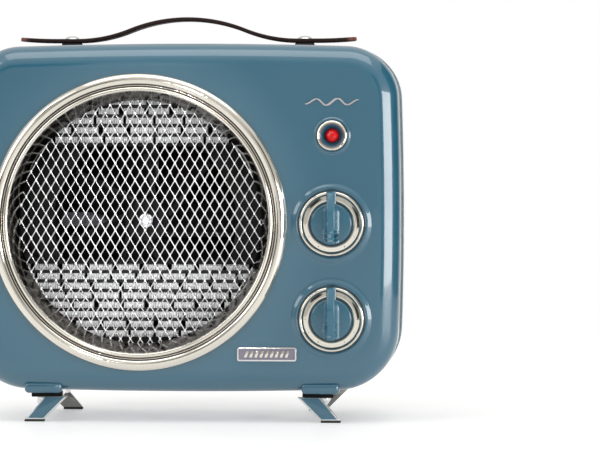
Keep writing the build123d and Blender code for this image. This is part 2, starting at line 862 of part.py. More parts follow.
with BuildPart() as flourish:
    with BuildSketch(facing(0, lamp_x, flourish_z)):
        with Locations(Location((0, 0, 0)), Location((0, 0, 0), (0, 0, 180))):
            add(swoosh.sketch)
        Rectangle(flourish_length / 20, flourish_length / 20, rotation=45)
    extrude(amount=flourish_thickness)

# ---------------------------------------------------------------- strap handle
# The strap's middle line: flat, a hollow bend, the crown, a hollow bend, flat. All its arcs are tangent.
strap_slope = 2 * atan(strap_rise / strap_bend_end)
crown_x = strap_crown_share * strap_bend_end
crown_radius = crown_x / sin(strap_slope)
hollow_radius = (strap_bend_end - crown_x) / sin(strap_slope)
strap_mid_low = strap_low + strap_thickness / 2
crown_high = strap_top - strap_thickness / 2
crown_end_z = crown_high - crown_radius * (1 - cos(strap_slope))


def crown_arc_middle(side):
    half = strap_slope / 2
    x = strap_bend_end - hollow_radius * sin(half)
    return (side * x, strap_mid_low + hollow_radius * (1 - cos(half)))


with BuildPart() as handle_strap:
    with BuildLine(Plane(origin=(0, strap_y, 0), x_dir=(1, 0, 0), z_dir=(0, -1, 0))) as strap_line:
        Line((-strap_length / 2, strap_mid_low), (-strap_bend_end, strap_mid_low))
        ThreePointArc((-strap_bend_end, strap_mid_low), crown_arc_middle(-1), (-crown_x, crown_end_z))
        ThreePointArc((-crown_x, crown_end_z), (0, crown_high), (crown_x, crown_end_z))
        ThreePointArc((crown_x, crown_end_z), crown_arc_middle(1), (strap_bend_end, strap_mid_low))
        Line((strap_bend_end, strap_mid_low), (strap_length / 2, strap_mid_low))
    strap_end = Plane(origin=(-strap_length / 2, strap_y, strap_mid_low), x_dir=(0, 1, 0), z_dir=(1, 0, 0))
    with BuildSketch(strap_end):
        Rectangle(strap_width, strap_thickness)
    sweep(path=strap_line.wires()[0])
    with BuildSketch(level(strap_low - strap_thickness, 0, strap_y)):
        SlotOverall(strap_length, strap_width)
    extrude(amount=strap_rise + 3 * strap_thickness, mode=Mode.INTERSECT)
    with BuildSketch(level(strap_low - 1.0)):
        with Locations((-stud_x, strap_y), (stud_x, strap_y)):
            Circle(stud_r + stud_hole_gap)
    extrude(amount=strap_thickness + 2.0, mode=Mode.SUBTRACT)

with BuildPart() as strap_pads:
    with BuildSketch(level(body_high - front_edge_r / 2)):
        with Locations((-stud_x, strap_y), (stud_x, strap_y)):
            RectangleRounded(pad_length, strap_width - 2 * pad_margin, pad_corner_r)
            Circle(stud_r + stud_hole_gap, mode=Mode.SUBTRACT)
    extrude(amount=strap_low - (body_high - front_edge_r / 2))
    add(front_block, mode=Mode.SUBTRACT)

with BuildPart() as strap_studs:
    for x in (-stud_x, stud_x):
        with BuildSketch(level(strap_low + strap_thickness, x, strap_y)):
            Circle(stud_head_r)
        extrude(amount=stud_head)
    fillet(strap_studs.faces().filter_by(Axis.Z).group_by(Axis.Z)[-1].edges(), stud_head * 0.8)
    for x in (-stud_x, stud_x):
        with BuildSketch(level(body_high - stud_tail, x, strap_y)):
            Circle(stud_r)
        extrude(amount=strap_low + strap_thickness - body_high + stud_tail)

stud_nut_low = body_high - side_bow - wall - stud_nut
with BuildPart() as stud_nuts:
    with BuildSketch(level(stud_nut_low)):
        with Locations((-stud_x, strap_y), (stud_x, strap_y)):
            RegularPolygon(stud_nut_r, 6)
            Circle(stud_r, mode=Mode.SUBTRACT)
    extrude(amount=body_high - stud_nut_low)
    add(front_cavity, mode=Mode.INTERSECT)


# ---------------------------------------------------------------- feet
def foot_screw_points(side):
    return [(side * foot_x, front_y + depth) for depth in foot_screw_depths]


def leg(side, lean, depth):
    """One leg: upright on one edge at the middle of the foot, leaning to `side * lean` at the floor."""
    reach = side * lean
    with BuildPart() as limb:
        with BuildSketch(facing(depth, side * foot_x)):
            Polygon(
                (-reach * leg_lean, leg_top),
                (0, leg_top),
                (reach * leg_width, pad_thickness),
                (0, pad_thickness),
                align=None,
            )
        extrude(amount=-leg_thickness)
    return limb.part


def splayed_foot(side):
    """A front leg that leans out, a rear leg that leans in, and the rail that joins them under the body."""
    rail_end = rear_leg_depth + leg_thickness
    seat_start = lug_depth + lug_setback + rail_gap
    with BuildPart() as foot:
        add(leg(side, 1, front_leg_depth))
        add(leg(side, -1, rear_leg_depth))
        with BuildSketch(level(rail_low)):
            with Locations((side * foot_x, front_y + (front_leg_depth + rail_end) / 2)):
                Rectangle(rail_width, rail_end - front_leg_depth - 2 * rail_gap)
        extrude(amount=rail_high - rail_low)
        with BuildSketch(level(rail_high)):
            with Locations((side * foot_x, front_y + (seat_start + rail_end) / 2)):
                Rectangle(rail_width, rail_end - seat_start - 2 * rail_gap)
        extrude(amount=body_low + side_bow - rail_high)
        add(front_block, mode=Mode.SUBTRACT)
        add(rear_block, mode=Mode.SUBTRACT)
        add(seam_trim.part, mode=Mode.SUBTRACT)
        with BuildSketch(level(rail_low)):
            with Locations(*foot_screw_points(side)):
                Circle(foot_screw_r)
        extrude(amount=body_low, mode=Mode.SUBTRACT)
        with BuildSketch(level(rail_low)):
            with Locations(*foot_screw_points(side)):
                Circle(foot_screw_head_r)
        extrude(amount=foot_screw_head, mode=Mode.SUBTRACT)
    return foot.part


with BuildPart() as foot_pads:
    for side in (-1, 1):
        for lean, depth in ((1, front_leg_depth), (-1, rear_leg_depth)):
            with BuildSketch(level(0)):
                with Locations((side * (foot_x + lean * leg_width / 2), front_y + depth + leg_thickness / 2)):
                    Rectangle(leg_width, leg_thickness)
            extrude(amount=pad_thickness)

with BuildPart() as foot_screws:
    for side in (-1, 1):
        with BuildSketch(level(rail_low)):
            with Locations(*foot_screw_points(side)):
                Circle(foot_screw_head_r)
        extrude(amount=foot_screw_head)
        with BuildSketch(level(rail_low)):
            with Locations(*foot_screw_points(side)):
                Circle(foot_screw_r)
        extrude(amount=body_low + foot_boss_height - 2 * wall - rail_low)

case_seat = body_depth - case_head_depth
case_screws = screws(case_points, case_seat, case_seat - seam_depth + case_screw_reach)

# ---------------------------------------------------------------- rear intake grille and mains inlet
with BuildPart() as rear_grille:
    with BuildSketch(facing(body_depth + intake_flange, outlet_x, outlet_z)):
        radius = intake_r
        while radius > intake_hub_r + intake_ring_pitch / 2:
            Circle(radius)
            Circle(radius - intake_ring_width, mode=Mode.SUBTRACT)
            radius -= intake_ring_pitch
        Circle(intake_hub_r)
        with PolarLocations(intake_r / 2, intake_spokes):
            Rectangle(intake_r - intake_ring_width, intake_ring_width)
    extrude(amount=intake_flange + wall)
    with BuildSketch(facing(body_depth + intake_flange, outlet_x, outlet_z)):
        Circle(intake_flange_r)
        Circle(intake_r - intake_ring_width, mode=Mode.SUBTRACT)
    extrude(amount=intake_flange)

with BuildPart() as cord_gland:
    inner = body_depth - wall
    with BuildSketch(lathe(gland_x, gland_z)):
        Polygon(
            (gland_bore_r, inner - gland_collar),
            (gland_collar_r, inner - gland_collar),
            (gland_collar_r, inner),
            (gland_neck_r, inner),
            (gland_neck_r, body_depth),
            (gland_collar_r, body_depth),
            (gland_collar_r, body_depth + gland_collar),
            (gland_tip_r, body_depth + gland_proud),
            (gland_bore_r, body_depth + gland_proud),
            align=None,
        )
    revolve(axis=turning_axis(gland_x, gland_z))

# ---------------------------------------------------------------- wiring
with BuildPart() as terminal_block:
    with BuildSketch(facing(body_depth - wall, terminal_x, terminal_z)):
        Rectangle(terminal_width, terminal_height)
    extrude(amount=terminal_depth)
    with BuildSketch(facing(body_depth - wall - terminal_depth, terminal_x, terminal_z)):
        with GridLocations(terminal_width / 3, 0, 3, 1):
            Rectangle(tab_height, tab_height, mode=Mode.ADD)
    extrude(amount=-terminal_depth / 3, mode=Mode.SUBTRACT)

with BuildPart() as thermal_cutout:
    with BuildSketch(facing(flange_back, outlet_x + shroud_r, outlet_z + shroud_r)):
        Circle(cutout_r)
    extrude(amount=-cutout_depth)
    with BuildSketch(facing(flange_back + cutout_depth, outlet_x + shroud_r, outlet_z + shroud_r)):
        with GridLocations(cutout_r, 0, 2, 1):
            Rectangle(0.8, tab_height)
    extrude(amount=-tab_reach / 2)


def wire(*stops):
    """A round insulated wire through (x, depth, z) points, with an equal bend at each corner."""
    points = [(x, front_y + depth, z) for x, depth, z in stops]
    with BuildPart() as lead:
        with BuildLine() as route:
            FilletPolyline(*points, radius=wire_bend)
        with BuildSketch(Plane(origin=route.line @ 0, z_dir=route.line % 0)):
            Circle(wire_r)
        sweep(path=route.wires()[0])
    return lead.part


switch_back = wall + switch_depth + tab_reach
thermostat_back = wall + thermostat_depth + tab_reach
tab_left = control_x - tab_spread / 2
tab_right = control_x + tab_spread / 2
bus_x = outlet_x + (bank_length + busbar_thickness) / 2
bus_end = flange_back + tab_reach
wire_loop = bus_end + 1.2 * wire_bend
terminal_front = body_depth - wall - terminal_depth
terminal_wire_z = terminal_z + terminal_height / 2 - 2 * wire_r
with BuildPart() as wiring:
    # mains terminals to the selector
    add(
        wire(
            (tab_right, terminal_front, terminal_wire_z),
            (tab_right, flange_back + 1.5 * wire_bend, terminal_wire_z),
            (tab_right, flange_back + 1.5 * wire_bend, selector_z - tab_rise / 2),
            (tab_right, switch_back, selector_z - tab_rise / 2),
        )
    )
    # selector to thermostat
    add(
        wire(
            (tab_left, switch_back, selector_z - tab_rise / 2),
            (tab_left, flange_back, selector_z - tab_rise / 2),
            (tab_left, flange_back, thermostat_z),
            (tab_left, thermostat_back, thermostat_z),
        )
    )
    # thermostat and selector to the two banks
    add(
        wire(
            (tab_right, thermostat_back, thermostat_z),
            (tab_right, wire_loop, thermostat_z),
            (bus_x, wire_loop, lower_mid),
            (bus_x, bus_end, lower_mid),
        )
    )
    add(
        wire(
            (tab_left, switch_back, selector_z + tab_rise / 2),
            (tab_left, wire_loop, selector_z + tab_rise / 2),
            (bus_x, wire_loop, upper_mid),
            (bus_x, bus_end, upper_mid),
        )
    )

# ---------------------------------------------------------------- one file for each piece
pieces = {
    "front_shell": front_shell.part,
    "rear_shell": rear_shell.part,
    "seam_trim": seam_trim.part,
    "grille_ring": grille_ring.part,
    "grille_mesh": grille_mesh.part,
    "mesh_retainer": mesh_retainer.part,
    "retainer_screws": retainer_screws,
    "heater_frame": heater_frame.part,
    "upper_fins": fin_bank(upper_mid, upper_rows),
    "lower_fins": fin_bank(lower_mid, lower_rows),
    "upper_ceramic_bars": ceramic_bars(upper_mid, upper_rows),
    "lower_ceramic_bars": ceramic_bars(lower_mid, lower_rows),
    "busbars": busbars.part,
    "fan_shroud": fan_shroud.part,
    "shroud_screws": shroud_screws,
    "motor_bracket": motor_bracket.part,
    "fan_motor": fan_motor.part,
    "motor_bushes": motor_bushes.part,
    "motor_screws": motor_screws,
    "motor_shaft": motor_shaft.part,
    "impeller": impeller.part,
    "impeller_clip": impeller_clip.part,
    "selector_knob": turning_knob(selector_z),
    "selector_shaft": control_shaft(selector_z, wall + switch_depth / 2 - shaft_end_gap),
    "rotary_switch": rotary_switch.part,
    "thermostat_knob": turning_knob(thermostat_z),
    "thermostat_shaft": control_shaft(thermostat_z, wall + thermostat_depth / 2 - shaft_end_gap),
    "thermostat": thermostat.part,
    "upper_dial_ring": dial_ring(selector_z),
    "lower_dial_ring": dial_ring(thermostat_z),
    "control_nuts": control_nuts.part,
    "lamp_bezel": lamp_bezel.part,
    "lamp_lens": lamp_lens.part,
    "lamp_body": lamp_body.part,
    "badge_plate": badge_plate.part,
    "flourish": flourish.part,
    "handle_strap": handle_strap.part,
    "strap_pads": strap_pads.part,
    "strap_studs": strap_studs.part,
    "stud_nuts": stud_nuts.part,
    "left_foot": splayed_foot(-1),
    "right_foot": splayed_foot(1),
    "foot_pads": foot_pads.part,
    "foot_screws": foot_screws.part,
    "case_screws": case_screws,
    "rear_grille": rear_grille.part,
    "cord_gland": cord_gland.part,
    "terminal_block": terminal_block.part,
    "thermal_cutout": thermal_cutout.part,
    "wiring": wiring.part,
}
os.makedirs("parts", exist_ok=True)
for name, piece in pieces.items():
    piece.label = name
    export_step(piece, f"parts/{name}.step")
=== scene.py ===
# %% [markdown]
# # A table-top ceramic fan heater, dressed for its portrait
# The heater's sizes are settled in CAD, and every part of it arrives here as a plain mesh in metres.
# This lesson builds the visible skin round that frame: painted shells, a polished ring, an
# expanded-metal grille, two turning knobs, a lamp, a leather strap and two splayed feet.
# Loading the frame first means that each new piece can read where it belongs and never has to guess.

# %% Load the frame
from math import atan, cos, hypot, pi, radians, sin, sqrt

import bmesh
import bpy
from mathutils import Matrix, Vector


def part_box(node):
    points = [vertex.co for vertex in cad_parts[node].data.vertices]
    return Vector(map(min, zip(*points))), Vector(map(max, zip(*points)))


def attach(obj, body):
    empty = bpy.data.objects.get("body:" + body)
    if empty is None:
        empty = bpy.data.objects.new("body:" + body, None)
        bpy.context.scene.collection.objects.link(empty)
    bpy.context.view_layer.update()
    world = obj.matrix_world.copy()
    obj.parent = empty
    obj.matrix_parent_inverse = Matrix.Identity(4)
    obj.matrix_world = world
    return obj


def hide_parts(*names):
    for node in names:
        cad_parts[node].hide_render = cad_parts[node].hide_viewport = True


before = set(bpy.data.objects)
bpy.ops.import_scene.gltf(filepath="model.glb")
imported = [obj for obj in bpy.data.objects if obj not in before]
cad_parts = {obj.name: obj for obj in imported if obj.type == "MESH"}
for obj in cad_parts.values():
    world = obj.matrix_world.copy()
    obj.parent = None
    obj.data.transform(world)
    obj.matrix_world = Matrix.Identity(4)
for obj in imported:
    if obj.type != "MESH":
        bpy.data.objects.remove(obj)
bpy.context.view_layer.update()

# %% [markdown]
# People think of a heater in millimetres, while Blender counts in metres. Every shape below is
# drawn in millimetres and shrunk once, at the end. The places come from the boxes of the frame's
# nodes: the ring's box gives the middle of the outlet, a dial's box gives the axis of its knob.

# %% Read the main places in millimetres
MM = 0.001


def span(node):
    """The lowest corner, the highest corner and the middle of a node, in millimetres."""
    low, high = (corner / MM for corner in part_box(node))
    return low, high, (low + high) / 2


body_low, body_high, _ = span("rear_shell")
trim_low, trim_high, _ = span("seam_trim")
ring_low, ring_high, outlet = span("grille_ring")
front = span("badge_plate")[1].y  # the flat front face
back = span("rear_grille")[1].y - 2.0  # the flat back face, under the intake's flange
upper_dial = span("upper_dial_ring")[2]
lower_dial = span("lower_dial_ring")[2]
lamp = span("lamp_bezel")[2]
print(f"front face y {front:.1f}, back face y {back:.1f}, outlet at {outlet.x:.1f}, {outlet.z:.1f}")

# %% [markdown]
# ## Finishes
# Real finishes are never one flat colour. Paint drifts a little in tone and has a faint orange
# peel, cast plastic has a fine grain, polished metal has smudges that show only in its gloss.
# Those effects are the same on many parts, so each one is a node group that is built once and
# then placed in a material with its own values. The shader itself stays in the material.

# %% A helper for node groups
def new_group(name, inputs, outputs):
    """An empty shader node group with the named sockets, and its input and output nodes."""
    group = bpy.data.node_groups.new(name, "ShaderNodeTree")
    for title, kind, value in inputs:
        socket = group.interface.new_socket(title, in_out="INPUT", socket_type=kind)
        socket.default_value = value
    for title, kind in outputs:
        group.interface.new_socket(title, in_out="OUTPUT", socket_type=kind)
    return group, group.nodes.new("NodeGroupInput"), group.nodes.new("NodeGroupOutput")


def add_node(tree, kind, **values):
    """A node with some of its settings or input values filled in."""
    node = tree.nodes.new(kind)
    for key, value in values.items():
        if key in node.inputs:
            node.inputs[key].default_value = value
        else:
            setattr(node, key, value)
    return node


def wire(tree, *links):
    """Joins nodes: each link names a node and its output, then a node and its input."""
    for source, output, target, socket in links:
        tree.links.new(source.outputs[output], target.inputs[socket])


# %% [markdown]
# The first group is the colour drift: a slow noise mixes two close colours. It reads Object
# coordinates, so the pattern is tied to the part and stays put from every side.

# %% Colour drift
def build_drift():
    group, start, end = new_group(
        "colour_drift",
        [("Colour", "NodeSocketColor", (0.5, 0.5, 0.5, 1)), ("Shift", "NodeSocketColor", (0.4, 0.4, 0.4, 1)),
         ("Scale", "NodeSocketFloat", 8.0), ("Speckle", "NodeSocketFloat", 900.0)],
        [("Colour", "NodeSocketColor")],
    )
    place = add_node(group, "ShaderNodeTexCoord")
    slow = add_node(group, "ShaderNodeTexNoise", Detail=3.0, Roughness=0.55)
    fine = add_node(group, "ShaderNodeTexNoise", Detail=2.0)
    blend = add_node(group, "ShaderNodeMath", operation="MULTIPLY")
    lift = add_node(group, "ShaderNodeMath", operation="MULTIPLY")
    lift.inputs[1].default_value = 2.4
    lift.use_clamp = True
    mix = add_node(group, "ShaderNodeMix", data_type="RGBA")
    wire(group, (place, "Object", slow, "Vector"), (place, "Object", fine, "Vector"),
         (start, "Scale", slow, "Scale"), (start, "Speckle", fine, "Scale"), (slow, "Fac", blend, 0),
         (fine, "Fac", blend, 1), (blend, 0, lift, 0), (lift, 0, mix, "Factor"),
         (start, "Colour", mix, "A"), (start, "Shift", mix, "B"), (mix, "Result", end, "Colour"))
    return group


colour_drift = build_drift()
print("group:", colour_drift.name, [s.name for s in colour_drift.interface.items_tree])

# %% [markdown]
# The second group is the grain: a bump made from noise. A stretch along one axis turns the same
# noise into brushing or drawing lines, so one group serves paint, moulded plastic and metal.

# %% Surface grain
def build_grain():
    group, start, end = new_group(
        "surface_grain",
        [("Scale", "NodeSocketFloat", 300.0), ("Stretch", "NodeSocketVector", (1, 1, 1)),
         ("Strength", "NodeSocketFloat", 0.1), ("Distance", "NodeSocketFloat", 0.0002)],
        [("Normal", "NodeSocketVector")],
    )
    place = add_node(group, "ShaderNodeTexCoord")
    stretch = add_node(group, "ShaderNodeVectorMath", operation="MULTIPLY")
    noise = add_node(group, "ShaderNodeTexNoise", Detail=2.0, Roughness=0.5)
    bump = add_node(group, "ShaderNodeBump")
    wire(group, (place, "Object", stretch, 0), (start, "Stretch", stretch, 1),
         (stretch, 0, noise, "Vector"), (start, "Scale", noise, "Scale"),
         (start, "Strength", bump, "Strength"), (start, "Distance", bump, "Distance"),
         (noise, "Fac", bump, "Height"), (bump, "Normal", end, "Normal"))
    return group


surface_grain = build_grain()
print("group:", surface_grain.name)

# %% [markdown]
# The third group is handling: fingers and cloths leave a surface a little duller in patches. It
# gives a roughness that wanders between two values.

# %% Handling smudges
def build_smudges():
    group, start, end = new_group(
        "handling_smudges",
        [("Clean", "NodeSocketFloat", 0.2), ("Dull", "NodeSocketFloat", 0.35),
         ("Scale", "NodeSocketFloat", 30.0)],
        [("Roughness", "NodeSocketFloat")],
    )
    place = add_node(group, "ShaderNodeTexCoord")
    noise = add_node(group, "ShaderNodeTexNoise", Detail=4.0, Roughness=0.6, Distortion=0.6)
    spread = add_node(group, "ShaderNodeMapRange")
    spread.inputs["From Min"].default_value = 0.42
    spread.inputs["From Max"].default_value = 0.7
    wire(group, (place, "Object", noise, "Vector"), (start, "Scale", noise, "Scale"),
         (noise, "Fac", spread, "Value"), (start, "Clean", spread, "To Min"),
         (start, "Dull", spread, "To Max"), (spread, "Result", end, "Roughness"))
    return group


handling_smudges = build_smudges()
print("group:", handling_smudges.name)

# %% [markdown]
# A finish is then one call. The colours are given as the familiar 0 to 255 numbers of a picture
# editor and turned into the linear light values that the renderer wants.

# %% One call for one finish
def linear(red, green, blue):
    """A 0 to 255 screen colour as linear light."""
    parts = [c / 255 for c in (red, green, blue)]
    return (*[c / 12.92 if c <= 0.04045 else ((c + 0.055) / 1.055) ** 2.4 for c in parts], 1.0)


finishes = {}


def new_finish(name, colour, shift, clean, dull, grain=(300.0, 0.1), stretch=(1, 1, 1), drift=8.0,
               smudge=30.0, bump_depth=0.0002, **plain):
    """A material with drifting colour, wandering gloss and a grain; `plain` goes straight on the shader."""
    material = bpy.data.materials.new(name)
    material.use_nodes = True
    tree = material.node_tree
    shader = tree.nodes["Principled BSDF"]
    for key, value in plain.items():
        shader.inputs[key.replace("_", " ")].default_value = value
    tone = add_node(tree, "ShaderNodeGroup", node_tree=colour_drift)
    tone.inputs["Colour"].default_value = linear(*colour)
    tone.inputs["Shift"].default_value = linear(*shift)
    tone.inputs["Scale"].default_value = drift
    gloss = add_node(tree, "ShaderNodeGroup", node_tree=handling_smudges)
    for key, value in (("Clean", clean), ("Dull", dull), ("Scale", smudge)):
        gloss.inputs[key].default_value = value
    relief = add_node(tree, "ShaderNodeGroup", node_tree=surface_grain)
    for key, value in (("Scale", grain[0]), ("Strength", grain[1]), ("Stretch", stretch),
                       ("Distance", bump_depth)):
        relief.inputs[key].default_value = value
    wire(tree, (tone, "Colour", shader, "Base Color"), (gloss, "Roughness", shader, "Roughness"),
         (relief, "Normal", shader, "Normal"))
    finishes[name] = material
    return material


# %% [markdown]
# The body is painted plastic: a blue base under a clear, wet-looking coat. The coat is what
# mirrors the studio lamps, and the base under it stays satin. Its orange peel is broad and very
# shallow, just enough to make the edge of a reflection tremble.

# %% Painted parts
new_finish("body_paint", (20, 86, 108), (18, 81, 103), 0.34, 0.42, grain=(90.0, 0.04), drift=5.0,
           Coat_Weight=1.0, Coat_Roughness=0.03, Coat_IOR=1.6)
# The inner faces of the shells are near black: painted shade for the dark inside of the case.
new_finish("inside_painted_shade", (14, 15, 17), (10, 11, 12), 0.6, 0.75, grain=(300.0, 0.1))
new_finish("body_moulding", (34, 94, 116), (30, 88, 109), 0.24, 0.34, grain=(500.0, 0.05), drift=14.0,
           Coat_Weight=0.7, Coat_Roughness=0.06)
new_finish("pale_trim", (206, 216, 218), (192, 204, 208), 0.3, 0.42, grain=(400.0, 0.06), Coat_Weight=0.3)
print("painted:", list(finishes))

# %% [markdown]
# The bright parts are plated. Plating is nearly a mirror, so what the lamps and the dark
# corners of the room draw on it matters more than its own colour, which is a slightly warm silver.

# %% Bright metals
new_finish("bright_ring", (226, 222, 212), (216, 211, 200), 0.06, 0.1, grain=(60.0, 0.02), Metallic=1.0)
new_finish("foot_chrome", (214, 216, 216), (200, 203, 205), 0.07, 0.16, grain=(80.0, 0.03), Metallic=1.0)
new_finish("mesh_steel", (232, 232, 232), (206, 206, 208), 0.24, 0.36, grain=(900.0, 0.08), Metallic=1.0)
new_finish("shaft_steel", (190, 191, 192), (168, 170, 172), 0.22, 0.38, grain=(400.0, 0.1),
           stretch=(1, 0.05, 1), Metallic=1.0)
new_finish("zinc_screws", (186, 188, 190), (160, 163, 168), 0.28, 0.46, grain=(700.0, 0.1), Metallic=1.0)
new_finish("terminal_brass", (201, 168, 98), (176, 142, 80), 0.25, 0.42, grain=(600.0, 0.08), Metallic=1.0)
new_finish("dark_steel", (66, 67, 70), (52, 53, 57), 0.38, 0.55, grain=(500.0, 0.12), Metallic=0.8)
# Brown for the lines in the ring's grooves: painted reflection of the dark they mirror.
new_finish("groove_painted_shade", (44, 34, 28), (34, 26, 22), 0.5, 0.65, grain=(300.0, 0.1))
# A darker copy of the plating for the ring's throat: painted shade.
new_finish("throat_painted_shade", (112, 108, 102), (96, 93, 88), 0.12, 0.2, grain=(60.0, 0.04), Metallic=1.0)
# A darker copy of the foot plating for the rear legs: painted shade.
new_finish("shaded_chrome", (150, 149, 142), (128, 128, 124), 0.12, 0.22, grain=(80.0, 0.04), Metallic=1.0)
new_finish("badge_field", (134, 130, 144), (122, 118, 132), 0.4, 0.5, grain=(900.0, 0.1), Metallic=0.3)
new_finish("badge_metal", (222, 222, 224), (208, 208, 212), 0.16, 0.26, grain=(900.0, 0.05), Metallic=1.0)
print("metals:", [n for n in finishes if n not in ("body_paint", "body_moulding", "pale_trim")])

# %% [markdown]
# Inside, the fins are bare aluminium between ceramic bars, in a black glass-filled moulding. The
# bars are near black: painted shade for the dark gaps between the rows of fins.
# Fins are so finely folded that they scatter light like chalk, so they are hardly metallic here.

# %% Mouldings, ceramic and wires
new_finish("fin_aluminium", (252, 252, 252), (240, 241, 243), 0.4, 0.55, grain=(900.0, 0.1), Metallic=0.15)
new_finish("heating_ceramic", (24, 22, 22), (16, 15, 16), 0.6, 0.75, grain=(800.0, 0.2))
new_finish("black_moulding", (9, 9, 10), (6, 6, 7), 0.55, 0.7, grain=(1100.0, 0.18), Specular_IOR_Level=0.15)
new_finish("grey_moulding", (150, 152, 158), (134, 136, 143), 0.4, 0.55, grain=(1000.0, 0.15))
new_finish("motor_case", (128, 130, 134), (108, 110, 115), 0.3, 0.46, grain=(500.0, 0.1), Metallic=0.9)
# A near-black gauze for behind the intake: painted shade.
new_finish("shade_gauze", (12, 12, 12), (7, 7, 8), 0.8, 0.95, grain=(1600.0, 0.5), Specular_IOR_Level=0.1)
new_finish("black_rubber", (22, 22, 23), (30, 30, 31), 0.6, 0.78, grain=(1400.0, 0.3))
new_finish("wire_sleeve", (176, 150, 96), (150, 128, 84), 0.4, 0.56, grain=(900.0, 0.25), stretch=(1, 0.3, 1))
new_finish("red_lens", (232, 12, 22), (200, 6, 14), 0.1, 0.16, grain=(200.0, 0.02), drift=200.0,
           Transmission_Weight=0.15, IOR=1.45, Specular_IOR_Level=0.4)
print(len(finishes), "finishes so far")

# %% [markdown]
# ## Shared making steps
# Most of this object is turned: ring, dials, lamp, studs, screws. A turned piece is a section of
# a few corners spun round an axis. The section is drawn as (radius, height) corners; a third
# number rounds that corner with a bevel, because no real edge is perfectly sharp, and a sharp
# edge never catches a line of light.

# %% Round off edges and push faces out
def round_off(bm, geom, offset, segments, affect="EDGES"):
    """Bevels edges, or the corners of a flat face when it affects vertices."""
    bmesh.ops.bevel(bm, geom=geom, affect=affect, offset=offset, offset_type="OFFSET",
                    segments=segments, profile=0.5, material=-1)


def push_out(bm, faces, move):
    """Extrudes faces along a vector and returns everything that this made."""
    grown = bmesh.ops.extrude_face_region(bm, geom=faces)["geom"]
    bmesh.ops.translate(bm, vec=move, verts=[g for g in grown if isinstance(g, bmesh.types.BMVert)])
    return grown


# %% Spin a section
def spin_section(corners, at, upright=False, steps=96, closed=True):
    """A turned shape at a point: its axis runs into the depth, or upwards when upright."""
    bm = bmesh.new()
    verts = [bm.verts.new((corner[0], 0, corner[1])) for corner in corners]
    after = verts[1:] + verts[:1] if closed else verts[1:]
    edges = [bm.edges.new(pair) for pair in zip(verts, after)]
    bmesh.ops.spin(bm, geom=verts + edges, cent=(0, 0, 0), axis=(0, 0, 1), angle=2 * pi,
                   steps=steps, use_merge=True, use_duplicate=False)
    bmesh.ops.remove_doubles(bm, verts=bm.verts, dist=1e-4)
    for radius, height, rounding in (corner for corner in corners if len(corner) == 3):
        rim = [e for e in bm.edges if all(abs(hypot(v.co.x, v.co.y) - radius) < 1e-3
                                          and abs(v.co.z - height) < 1e-3 for v in e.verts)]
        round_off(bm, rim, rounding, 4)
    turn = Matrix() if upright else Matrix.Rotation(-pi / 2, 4, "X")
    bmesh.ops.transform(bm, matrix=Matrix.Translation(at) @ turn, verts=bm.verts)
    return bm


# %% [markdown]
# Other parts start as blocks. `soft_block` is a cube pulled to two corners and bevelled all
# round. `join` pours one mesh into another, so that a piece may be made of several closed forms.

# %% Blocks, joining and placing
def soft_block(low, high, rounding, segments=3):
    """A block between two corners, all its edges rounded."""
    bm = bmesh.new()
    bmesh.ops.create_cube(bm, size=1.0)
    low, high = Vector(low), Vector(high)
    bmesh.ops.scale(bm, vec=high - low, verts=bm.verts)
    bmesh.ops.translate(bm, vec=(low + high) / 2, verts=bm.verts)
    round_off(bm, bm.edges[:], rounding, segments)
    return bm


def join(target, *others):
    """Adds other meshes to the target and returns it."""
    for other in others:
        spare = bpy.data.meshes.new("spare")
        other.to_mesh(spare)
        other.free()
        target.from_mesh(spare)
        bpy.data.meshes.remove(spare)
    return target


def place_piece(name, bm, finish, *stands_for, body="root", crease=38, wall=0.0, settle=True,
                inside=None, slot=None):
    """Turns a mesh in millimetres into a finished piece of the heater, on its body."""
    bmesh.ops.remove_doubles(bm, verts=bm.verts, dist=1e-4)
    if settle:
        bmesh.ops.recalc_face_normals(bm, faces=bm.faces)
    bmesh.ops.scale(bm, vec=(MM, MM, MM), verts=bm.verts)
    mesh = bpy.data.meshes.new(name)
    bm.to_mesh(mesh)
    bm.free()
    mesh.shade_smooth()
    mesh.set_sharp_from_angle(angle=radians(crease))
    mesh.materials.append(finishes[finish])
    if inside:
        mesh.materials.append(finishes[inside])
    piece = bpy.data.objects.new(name, mesh)
    bpy.context.scene.collection.objects.link(piece)
    if wall:
        sheet = piece.modifiers.new("wall", "SOLIDIFY")
        sheet.thickness = wall * MM
        sheet.offset = -1.0
        sheet.use_even_offset = True
        sheet.material_offset = 1 if inside else 0
    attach(piece, body)
    if stands_for:
        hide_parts(*stands_for)
    print(f"{name}: {len(mesh.polygons)} faces, stands for {', '.join(stands_for) or 'nothing'}")
    return piece


# %% [markdown]
# ## The painted shells
# Each shell is one moulding: a rectangle with big round corners and gently bowed
# sides, folded back through a soft edge. It could be a cube with a subdivision surface, but the
# bow and the corner radius would then be guesses. Here a four-cornered face gets its corners
# rounded by a vertex bevel, its sides are cut finely and pushed out along a parabola, and the
# face is extruded to the seam. Bevelling the front rim with many segments gives the soft edge.

# %% Outline of the body
side_bow = 3.0
bottom_corner, top_corner = 40.0, 35.0
wall = 2.4


def bowed_outline(y, grow=0.0):
    """The body's outline as one face at depth y, made larger all round by `grow`."""
    bm = bmesh.new()
    half = body_high.x + grow - side_bow
    low, high = body_low.z - grow + side_bow, body_high.z + grow - side_bow
    middle, reach = (low + high) / 2, (high - low) / 2
    corners = [bm.verts.new(p) for p in ((-half, y, low), (half, y, low), (half, y, high), (-half, y, high))]
    bm.faces.new(corners)
    for pair, radius in ((corners[:2], bottom_corner), (corners[2:], top_corner)):
        round_off(bm, pair, radius + grow, 20, "VERTICES")
    long_sides = [e for e in bm.edges if e.calc_length() > 30]
    bmesh.ops.subdivide_edges(bm, edges=long_sides, cuts=29)
    for v in bm.verts:
        across, up = v.co.x / half, (v.co.z - middle) / reach
        v.co.x += side_bow * across * (1 - min(1, up * up))
        v.co.z += side_bow * up * (1 - min(1, across * across))
    return bm


